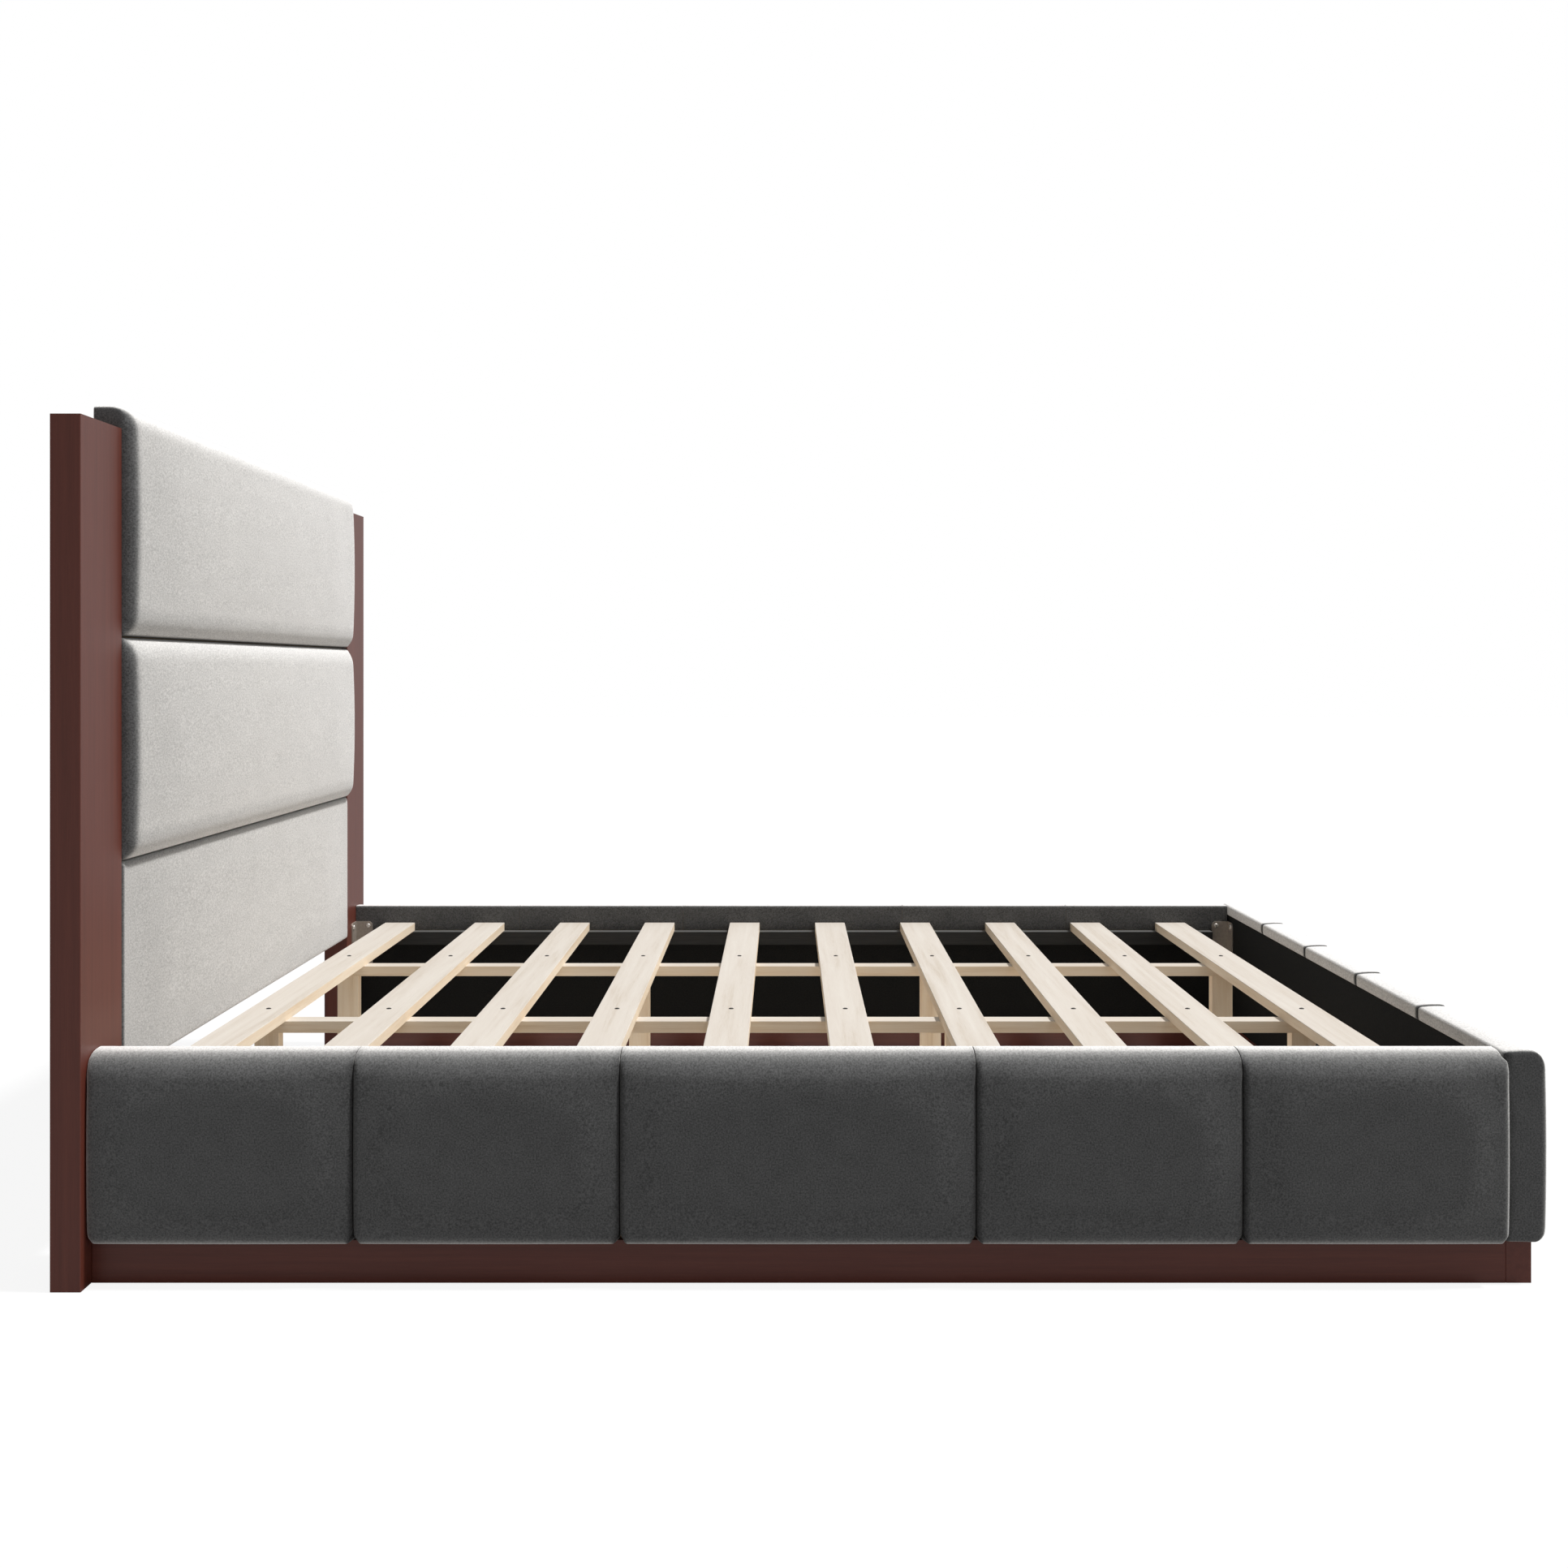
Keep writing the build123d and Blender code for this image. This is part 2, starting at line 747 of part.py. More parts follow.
for corner_name, (corner_x, side, inward) in corners.items():
    turn = inward * -side
    level = (bracket_top + bracket_bottom) / 2
    corner = Plane((corner_x, side * half_bay, level), x_dir=(inward, 0, 0), z_dir=(0, 0, turn))
    with BuildPart() as bracket:
        with BuildSketch(corner):
            with BuildLine():
                Polyline(
                    (0, 0),
                    (bracket_wing, 0),
                    (bracket_wing, bracket_thickness),
                    (bracket_thickness, bracket_thickness),
                    (bracket_thickness, bracket_wing),
                    (0, bracket_wing),
                    close=True,
                )
            make_face()
        extrude(amount=bracket_height / 2, both=True)
        rail_wing = Axis((0, 0, 0), (inward, 0, 0))
        end_wing = Axis((0, 0, 0), (0, -side, 0))
        rail_wing_tip = bracket.edges().filter_by(Axis.Y).sort_by(rail_wing)[-2:]
        end_wing_tip = bracket.edges().filter_by(Axis.X).sort_by(end_wing)[-2:]
        fillet(rail_wing_tip + end_wing_tip, radius=bracket_corner_round)
        add(bolt_holes.part, mode=Mode.SUBTRACT)
    bracket.part.label = "corner_bracket_" + corner_name
    export_step(bracket.part, "parts/corner_bracket_" + corner_name + ".step")


def leg_screw_points(beam_y):
    """Places of the two screws in the top of each leg under one beam."""
    leg_y = beam_y - leg_shift
    return [
        (leg_x + turn * leg_screw_spread, leg_y, deck_height)
        for leg_x in leg_places
        for turn in (-1, 1)
    ]


slat_screw_points = [(slat_x, beam_y, deck_top) for slat_x in slat_places for beam_y in beam_places]
leg_screw_places = [point for beam_y in beam_places for point in leg_screw_points(beam_y)]
slat_screw = screw_shape(slat_screw_length, 0, 0)
leg_screw = screw_shape(leg_screw_length, 0, 0)

with BuildPart() as slat_screws:
    with Locations(*slat_screw_points):
        add(slat_screw)
slat_screws.part.label = "slat_screws"
export_step(slat_screws.part, "parts/slat_screws.step")

with BuildPart() as leg_screws:
    with Locations(*leg_screw_places):
        add(leg_screw)
leg_screws.part.label = "leg_screws"
export_step(leg_screws.part, "parts/leg_screws.step")


# Middle beams under the slats, and the four legs that carry each

slat_screw_hole = screw_shape(slat_screw_length, screw_play, overrun)
leg_screw_hole = screw_shape(leg_screw_length, screw_play, overrun)

for (side_name, side), beam_y in zip(sides.items(), beam_places):
    beam_corner = Plane((beam_start_x, beam_y - beam_width / 2, beam_bottom))
    with BuildPart() as beam:
        with BuildSketch(beam_corner):
            Rectangle(beam_end_x - beam_start_x, beam_width, align=(Align.MIN, Align.MIN))
        extrude(amount=beam_height)
        with Locations(*leg_screw_points(beam_y)):
            add(leg_screw_hole, mode=Mode.SUBTRACT)
        with Locations(*[(slat_x, beam_y, deck_top) for slat_x in slat_places]):
            add(slat_screw_hole, mode=Mode.SUBTRACT)
    beam.part.label = side_name + "_beam"
    export_step(beam.part, "parts/" + side_name + "_beam.step")

    leg_points = [(leg_x, beam_y - leg_shift) for leg_x in leg_places]
    with BuildPart() as legs:
        with BuildSketch():
            with Locations(*leg_points):
                Rectangle(leg_length, leg_width)
        extrude(amount=beam_bottom)
        with Locations(*leg_screw_points(beam_y)):
            add(leg_screw_hole, mode=Mode.SUBTRACT)
    legs.part.label = side_name + "_beam_legs"
    export_step(legs.part, "parts/" + side_name + "_beam_legs.step")


# Slats, screwed down to both beams and resting on the ledges

slat_length = bay_width - 2 * slat_end_gap
for number, slat_x in enumerate(slat_places, start=1):
    slat_corner = Plane((slat_x - slat_width / 2, -slat_length / 2, deck_height))
    with BuildPart() as slat:
        with BuildSketch(slat_corner):
            Rectangle(slat_width, slat_length, align=(Align.MIN, Align.MIN))
        extrude(amount=slat_thickness)
        fillet(slat.faces().sort_by(Axis.Z)[-1].edges().filter_by(Axis.Y), radius=slat_edge_round)
        with Locations(*[(slat_x, beam_y, deck_top) for beam_y in beam_places]):
            add(slat_screw_hole, mode=Mode.SUBTRACT)
    slat_name = "slat_" + str(number).zfill(2)
    slat.part.label = slat_name
    export_step(slat.part, "parts/" + slat_name + ".step")
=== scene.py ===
import math

import bmesh
import bpy
from mathutils import Matrix, Vector


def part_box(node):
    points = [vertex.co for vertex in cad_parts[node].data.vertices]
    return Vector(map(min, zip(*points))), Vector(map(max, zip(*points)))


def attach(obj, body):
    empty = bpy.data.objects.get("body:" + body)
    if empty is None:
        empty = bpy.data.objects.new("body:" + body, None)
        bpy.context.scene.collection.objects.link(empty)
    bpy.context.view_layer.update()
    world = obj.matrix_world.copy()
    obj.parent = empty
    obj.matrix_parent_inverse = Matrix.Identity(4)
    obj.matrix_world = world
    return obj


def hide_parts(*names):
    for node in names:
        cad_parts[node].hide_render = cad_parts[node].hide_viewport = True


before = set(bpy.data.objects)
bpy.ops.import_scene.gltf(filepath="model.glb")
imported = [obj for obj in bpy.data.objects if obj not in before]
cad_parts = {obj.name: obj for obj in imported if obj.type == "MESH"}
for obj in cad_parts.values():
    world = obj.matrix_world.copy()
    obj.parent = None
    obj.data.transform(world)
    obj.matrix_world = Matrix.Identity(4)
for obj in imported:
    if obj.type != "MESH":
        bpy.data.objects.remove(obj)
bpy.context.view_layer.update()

MM = 0.001


# Headboard posts: two solid hardwood boards on end, stained reddish brown and sprayed with a satin
# lacquer. They are planed square, with fine straight grain, and carry the whole headboard panel.

def srgb(code):
    """Linear colour of an sRGB hex code."""
    channels = [int(code[start:start + 2], 16) / 255 for start in (1, 3, 5)]
    linear = [c / 12.92 if c <= 0.04045 else ((c + 0.055) / 1.055) ** 2.4 for c in channels]
    return (*linear, 1)


def add_node(tree, kind, inputs=None, steps=(), **settings):
    """Add a shader node. An input is a value or the socket that feeds it; steps fill a ramp."""
    node = tree.nodes.new(kind)
    for key, value in settings.items():
        setattr(node, key, value)
    for key, value in (inputs or {}).items():
        if isinstance(value, bpy.types.NodeSocket):
            tree.links.new(value, node.inputs[key])
        else:
            node.inputs[key].default_value = value
    for number in range(2, len(steps)):
        node.color_ramp.elements.new(0.5)
    if steps:
        for element, (position, code) in zip(node.color_ramp.elements, steps):
            element.position = position
            element.color = srgb(code)
    return node


def new_finish(name):
    """An empty material, its node tree and its position in metres, for patterns of a real size."""
    finish = bpy.data.materials.new(name)
    finish.use_nodes = True
    finish.node_tree.nodes.clear()
    place = add_node(finish.node_tree, "ShaderNodeTexCoord").outputs["Object"]
    return finish, finish.node_tree, place


def pattern_scale(across, along, axis):
    """Scale of a pattern from its real size in mm, drawn out in the direction of an axis."""
    scale = [1 / (across * MM)] * 3
    scale["XYZ".index(axis)] = 1 / (along * MM)
    return scale


def dress(finish, *names):
    """Give carried-over pieces their finish."""
    for name in names:
        for material_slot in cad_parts[name].material_slots:
            material_slot.material = finish


# Widths and lengths in millimetres. Real pores are a quarter of a millimetre wide, too fine to
# show, so they are drawn about five times as wide.
hardwood_figure = (9, 420)
hardwood_pore = (1.3, 45)


def stained_hardwood(axis):
    """Hardwood stained reddish brown under satin lacquer: dark pores, a faint lighter figure."""
    finish, tree, place = new_finish("stained_hardwood_" + axis.lower())
    figure_place = add_node(
        tree, "ShaderNodeMapping",
        {"Vector": place, "Scale": pattern_scale(*hardwood_figure, axis)},
    ).outputs["Vector"]
    figure = add_node(
        tree, "ShaderNodeTexNoise",
        {"Vector": figure_place, "Scale": 1, "Detail": 3, "Roughness": 0.55},
    ).outputs["Fac"]
    pore_place = add_node(
        tree, "ShaderNodeMapping",
        {"Vector": place, "Scale": pattern_scale(*hardwood_pore, axis)},
    ).outputs["Vector"]
    pores = add_node(
        tree, "ShaderNodeTexNoise",
        {"Vector": pore_place, "Scale": 1, "Detail": 2, "Roughness": 0.6},
    ).outputs["Fac"]
    grain = add_node(
        tree, "ShaderNodeMath", {0: figure, 1: 0.6, 2: 0.0}, operation="MULTIPLY_ADD",
    ).outputs[0]
    grain = add_node(
        tree, "ShaderNodeMath", {0: pores, 1: 0.4, 2: grain}, operation="MULTIPLY_ADD",
    ).outputs[0]
    colour = add_node(
        tree, "ShaderNodeValToRGB", {"Fac": grain},
        steps=[(0.3, "#57291e"), (0.5, "#602e23"), (0.72, "#693528")],
    ).outputs["Color"]
    relief = add_node(
        tree, "ShaderNodeBump", {"Height": pores, "Strength": 0.25, "Distance": 0.1 * MM},
    ).outputs["Normal"]
    surface = add_node(
        tree, "ShaderNodeBsdfPrincipled",
        {
            "Base Color": colour, "Roughness": 0.4, "IOR": 1.5, "Specular IOR Level": 0.5,
            "Normal": relief,
        },
    )
    add_node(tree, "ShaderNodeOutputMaterial", {"Surface": surface.outputs["BSDF"]})
    return finish


upright_hardwood = stained_hardwood("Z")
dress(upright_hardwood, "headboard_post_left", "headboard_post_right")


# Headboard frame and face board: a softwood frame glued up and dowelled between the posts, with a
# plywood face that the cushions are stapled to. Planed and sheathed, none of it is lacquered.

# How many times longer than wide the figure is, and a fibre's width and length in millimetres.
# Single fibres are too fine to show, so they are drawn as bundles about a millimetre wide.
figure_stretch = 26
wood_fibre = (1.1, 38)


def pale_wood(name, axis, face, side_codes, figure_width):
    """Unfinished pale timber: soft figure, fine fibres, a second ramp for sides and undersides."""
    finish, tree, place = new_finish(name)
    figure_scale = pattern_scale(figure_width, figure_width * figure_stretch, axis)
    figure_place = add_node(
        tree, "ShaderNodeMapping", {"Vector": place, "Scale": figure_scale},
    ).outputs["Vector"]
    figure = add_node(
        tree, "ShaderNodeTexNoise",
        {"Vector": figure_place, "Scale": 1, "Detail": 4, "Roughness": 0.5, "Distortion": 0.6},
    ).outputs["Fac"]
    fibre_place = add_node(
        tree, "ShaderNodeMapping", {"Vector": place, "Scale": pattern_scale(*wood_fibre, axis)},
    ).outputs["Vector"]
    fibres = add_node(
        tree, "ShaderNodeTexNoise",
        {"Vector": fibre_place, "Scale": 1, "Detail": 3, "Roughness": 0.65},
    ).outputs["Fac"]
    grain = add_node(
        tree, "ShaderNodeMath", {0: figure, 1: 0.65, 2: 0.0}, operation="MULTIPLY_ADD",
    ).outputs[0]
    grain = add_node(
        tree, "ShaderNodeMath", {0: fibres, 1: 0.35, 2: grain}, operation="MULTIPLY_ADD",
    ).outputs[0]
    colours = [
        add_node(
            tree, "ShaderNodeValToRGB", {"Fac": grain},
            steps=list(zip((0.28, 0.46, 0.68), codes)),
        ).outputs["Color"]
        for codes in (face, side_codes)
    ]
    # Sides and undersides take the second ramp; where it is lighter, that is painted light.
    direction = add_node(tree, "ShaderNodeNewGeometry").outputs["Normal"]
    upward = add_node(tree, "ShaderNodeSeparateXYZ", {"Vector": direction}).outputs["Z"]
    sideways = add_node(
        tree, "ShaderNodeMapRange",
        {"Value": upward, "From Min": 0.05, "From Max": 0.45, "To Min": 1.0, "To Max": 0.0},
    ).outputs["Result"]
    colour = add_node(
        tree, "ShaderNodeMix", {"Factor": sideways, 6: colours[0], 7: colours[1]},
        data_type="RGBA",
    ).outputs[2]
    relief = add_node(
        tree, "ShaderNodeBump", {"Height": fibres, "Strength": 0.3, "Distance": 0.12 * MM},
    ).outputs["Normal"]
    surface = add_node(
        tree, "ShaderNodeBsdfPrincipled",
        {"Base Color": colour, "Roughness": 0.62, "IOR": 1.45, "Normal": relief},
    )
    add_node(tree, "ShaderNodeOutputMaterial", {"Surface": surface.outputs["BSDF"]})
    return finish


spruce = ("#b08f66", "#c4a882", "#d0b997")
birch = ("#a5845c", "#b99b70", "#c6ab84")
frame_softwood = pale_wood("planed_spruce_y", "Y", spruce, spruce, 10)
frame_softwood_upright = pale_wood("planed_spruce_z", "Z", spruce, spruce, 10)
face_plywood = pale_wood("birch_plywood_y", "Y", birch, birch, 22)
dress(frame_softwood, "headboard_bottom_rail", "headboard_top_rail", "headboard_dowels")
dress(frame_softwood_upright, "headboard_stile_left", "headboard_stile_right")
dress(face_plywood, "headboard_face_board")


# Black dust cloth: a thin non-woven sheet stapled over the back of the headboard and down the
# inside of the rails. Its pressed fibres give it a flat, slightly cloudy black.

# The fibres are too fine to show, so only the cloudiness that they give is drawn, at 3 mm.
cloth_spot = 3.0 * MM

lining_cloth, tree, place = new_finish("black_non_woven_cloth")
clouds = add_node(
    tree, "ShaderNodeTexNoise",
    {"Vector": place, "Scale": 1 / cloth_spot, "Detail": 3, "Roughness": 0.7},
).outputs["Fac"]
colour = add_node(
    tree, "ShaderNodeValToRGB", {"Fac": clouds}, steps=[(0.35, "#101010"), (0.65, "#1c1c1b")],
).outputs["Color"]
relief = add_node(
    tree, "ShaderNodeBump", {"Height": clouds, "Strength": 0.4, "Distance": 0.2 * MM},
).outputs["Normal"]
surface = add_node(
    tree, "ShaderNodeBsdfPrincipled",
    {"Base Color": colour, "Roughness": 0.95, "IOR": 1.3, "Normal": relief},
)
add_node(tree, "ShaderNodeOutputMaterial", {"Surface": surface.outputs["BSDF"]})
dress(
    lining_cloth, "headboard_back_cover", "left_rail_lining", "right_rail_lining",
    "foot_rail_lining",
)


# Headboard cushions: slabs of upholstery foam under polyester velvet, stapled to the face board
# one above the other, edges rolled back into the grooves, the top one taken over the panel. The
# pile's colour is painted from dark straight on to pale at a grazing angle, a painted sheen, and
# a painted shade darkens it and damps that sheen in grooves, joints, rolls and lower cushions.

# Sizes in millimetres. Real tufts stand under a millimetre apart, too fine to show, so they are
# drawn as clumps of 2.4 mm. The patches are where the pile has been stroked one way.
velvet_tuft = 2.4
velvet_patch = 30.0
# Painted shade: how much it damps the painted sheen, and how much it darkens the pile.
painted_shade_sheen_cut = 0.55
painted_shade_darkening = 0.5

velvet, tree, place = new_finish("grey_polyester_velvet")
tuft_scale = pattern_scale(velvet_tuft, velvet_tuft * 2, "Y")
tuft_place = add_node(
    tree, "ShaderNodeMapping", {"Vector": place, "Scale": tuft_scale},
).outputs["Vector"]
tufts = add_node(
    tree, "ShaderNodeTexNoise",
    {"Vector": tuft_place, "Scale": 1, "Detail": 2, "Roughness": 0.6},
).outputs["Fac"]
patch_scale = pattern_scale(velvet_patch, velvet_patch * 3, "Y")
patch_place = add_node(
    tree, "ShaderNodeMapping", {"Vector": place, "Scale": patch_scale},
).outputs["Vector"]
patches = add_node(
    tree, "ShaderNodeTexNoise",
    {"Vector": patch_place, "Scale": 1, "Detail": 3, "Roughness": 0.5},
).outputs["Fac"]
pile = add_node(
    tree, "ShaderNodeMath", {0: patches, 1: 0.12, 2: 0.0}, operation="MULTIPLY_ADD",
).outputs[0]
pile = add_node(
    tree, "ShaderNodeMath", {0: tufts, 1: 0.88, 2: pile}, operation="MULTIPLY_ADD",
).outputs[0]
# Painted sheen: the facing drives a colour ramp from dark straight on to pale at a grazing angle.
facing = add_node(tree, "ShaderNodeLayerWeight", {"Blend": 0.5}).outputs["Facing"]
# The covers' painted-shade attribute: full in grooves and joints, partial on shaded rolls.
crease = add_node(tree, "ShaderNodeAttribute", attribute_name="crease").outputs["Fac"]
sheen_left_under_painted_shade = add_node(
    tree, "ShaderNodeMath", {0: crease, 1: -painted_shade_sheen_cut, 2: 1.0}, operation="MULTIPLY_ADD",
).outputs[0]
facing = add_node(tree, "ShaderNodeMath", {0: facing, 1: sheen_left_under_painted_shade}, operation="MULTIPLY").outputs[0]
lean = add_node(
    tree, "ShaderNodeValToRGB", {"Fac": facing},
    steps=[
        (0.0, "#585858"), (0.12, "#5c5c5c"), (0.3, "#717170"), (0.5, "#9a9997"),
        (0.7, "#cfcdca"), (0.85, "#e8e6e4"), (1.0, "#eceae8"),
    ],
).outputs["Color"]
ruffle = add_node(
    tree, "ShaderNodeMapRange",
    {"Value": pile, "From Min": 0.32, "From Max": 0.68, "To Min": -0.3, "To Max": 0.28},
).outputs["Result"]
depth_seen = add_node(
    tree, "ShaderNodeMath", {0: facing, 1: -1.0, 2: 1.4}, operation="MULTIPLY_ADD",
).outputs[0]
shade = add_node(
    tree, "ShaderNodeMath", {0: ruffle, 1: depth_seen, 2: 1.0}, operation="MULTIPLY_ADD",
).outputs[0]
# Painted shade darkens the pile where the attribute is set.
painted_shade_dimming = add_node(
    tree, "ShaderNodeMath", {0: crease, 1: -painted_shade_darkening, 2: 1.0}, operation="MULTIPLY_ADD",
).outputs[0]
shade = add_node(tree, "ShaderNodeMath", {0: shade, 1: painted_shade_dimming}, operation="MULTIPLY").outputs[0]
# The painted sheen ramp, scaled by the tufts' random tone and the painted shade.
colour = add_node(
    tree, "ShaderNodeVectorMath", {0: lean, "Scale": shade}, operation="SCALE",
).outputs["Vector"]
relief = add_node(
    tree, "ShaderNodeBump", {"Height": tufts, "Strength": 0.25, "Distance": 0.3 * MM},
).outputs["Normal"]
surface = add_node(
    tree, "ShaderNodeBsdfPrincipled",
    {
        "Base Color": colour, "Roughness": 0.9, "IOR": 1.3, "Specular IOR Level": 0.1,
        "Sheen Weight": 0.08, "Sheen Roughness": 0.4, "Sheen Tint": srgb("#f2f0ee"),
        "Normal": relief,
    },
)
add_node(tree, "ShaderNodeOutputMaterial", {"Surface": surface.outputs["BSDF"]})


def line_points(start, end, spacing):
    """Points along a straight stretch, without its last one."""
    start, end = Vector(start), Vector(end)
    count = max(1, round((end - start).length / spacing))
    return [start.lerp(end, number / count) for number in range(count)]


def arc_points(centre, radius, first, last, count):
    """Points along an arc given in degrees, without its last one."""
    points = []
    for number in range(count):
        angle = math.radians(first + (last - first) * number / count)
        points.append(Vector(centre) + Vector((math.cos(angle), math.sin(angle))) * radius)
    return points


def along_inner(points, start, end):
    """Points of the inner side that pair with a stretch of outer points, from start towards end."""
    reach = [0.0]
    for before, after in zip(points, points[1:]):
        reach.append(reach[-1] + (after - before).length)
    return [Vector(start).lerp(Vector(end), length / reach[-1]) for length in reach[:-1]]


def outward(points):
    """Outward normal at each point of an open section that runs clockwise in (depth, height)."""
    normals = []
    for number in range(len(points)):
        before = points[max(number - 1, 0)]
        after = points[min(number + 1, len(points) - 1)]
        run = (after - before).normalized()
        normals.append(Vector((-run.y, run.x)))
    return normals


def stations_between(length, spacing, near_end):
    """Places along a piece: close together at both ends, then evenly spaced."""
    middle = line_points((near_end[-1], 0), (length - near_end[-1], 0), spacing)
    places = list(near_end[:-1]) + [point.x for point in middle]
    return places + [length - place for place in reversed(near_end)]


class Stuffing:
    """How the cover of a piece turns in at its ends, and how each outer point takes part in it."""

    def __init__(
        self, end_round, end_depth, bow, shares, corners, free, creases, open_ends, slack_reach,
        laps=(0.0, 0.0),
    ):
        self.end_round = end_round
        self.end_depth = end_depth
        self.bow = bow
        self.shares = shares
        self.corners = corners
        self.free = free
        self.creases = creases
        self.open_ends = open_ends
        self.slack_reach = slack_reach
        self.laps = laps

    def lap(self, place, length):
        """How far the nearer end reaches past what stands behind it."""
        return self.laps[0 if place < length / 2 else 1]

    def is_open(self, place, length):
        """Whether the nearer end stands free, with nothing beside it."""
        return self.open_ends[0 if place < length / 2 else 1]

    def inset(self, place, length, number, facing_out):
        """How far an outer point stands in at a place along the piece."""
        end = min(place, length - place)
        lean = (2 * place / length - 1) ** 2
        bend = 0.0
        if end < self.end_round:
            bend = 1 - math.sqrt(1 - (1 - end / self.end_round) ** 2)
        bow = self.bow[0 if place < length / 2 else 1]
        return bow * lean * facing_out ** 2 + self.end_depth * bend * self.shares[number]

    def shift(self, place, length, corner):
        """How far a corner moves in along the piece, near its end."""
        end = min(place, length - place)
        towards = 1 if place < length / 2 else -1
        return towards * corner * max(0.0, 1 - end / corner_reach) ** 2

    def slack(self, place, length):
        """How far the cover may move at a place along the piece, as a share."""
        end = min(1.0, min(place, length - place) / self.slack_reach)
        return end * end * (3 - 2 * end)

    def crease(self, place, length, number):
        """Painted shade at a point: full at a closed joint, never under the point's own share."""
        end = max(0.0, 1 - min(place, length - place) / painted_shade_reach)
        turned = 0.0 if self.is_open(place, length) else end * end * (3 - 2 * end)
        return max(turned * min(1.0, 2.5 * self.shares[number]), self.creases[number])


corner_reach = 20 * MM
# How far from a closed joint the painted shade reaches.
painted_shade_reach = 11 * MM
lap_depth = 18 * MM
weld_distance = 0.02 * MM
end_rings = (0.12, 0.35, 0.65)
evening_rounds = 14


def close_end(mesh, rows, boards, closing, to_world, places, order):
    """Wrap the cover round an end of the board: end face, its turned edges and its inner side."""
    around = []
    for number in order:
        row = [rows[number][0]]
        row += [mesh.verts.new(to_world(places[number], point.x, point.y)) for point in closing]
        row.append(rows[number][-1])
        around.append(row)
    for first, second in zip(around, around[1:]):
        for number in range(len(first) - 1):
            mesh.faces.new((first[number], first[number + 1], second[number + 1], second[number]))
    last = order[-1]
    mesh.faces.new(boards[last] + around[-1][:0:-1])
    loop = rows[order[0]] + around[0][-2:0:-1]
    centre = sum((vertex.co for vertex in loop), Vector()) / len(loop)
    outer = loop
    for share in end_rings:
        inner = [mesh.verts.new(vertex.co.lerp(centre, share)) for vertex in loop]
        for number in range(len(loop)):
            after = (number + 1) % len(loop)
            mesh.faces.new((outer[number], outer[after], inner[after], inner[number]))
        outer = inner
    hub = mesh.verts.new(centre)
    for number in range(len(loop)):
        mesh.faces.new((outer[number], outer[(number + 1) % len(loop)], hub))


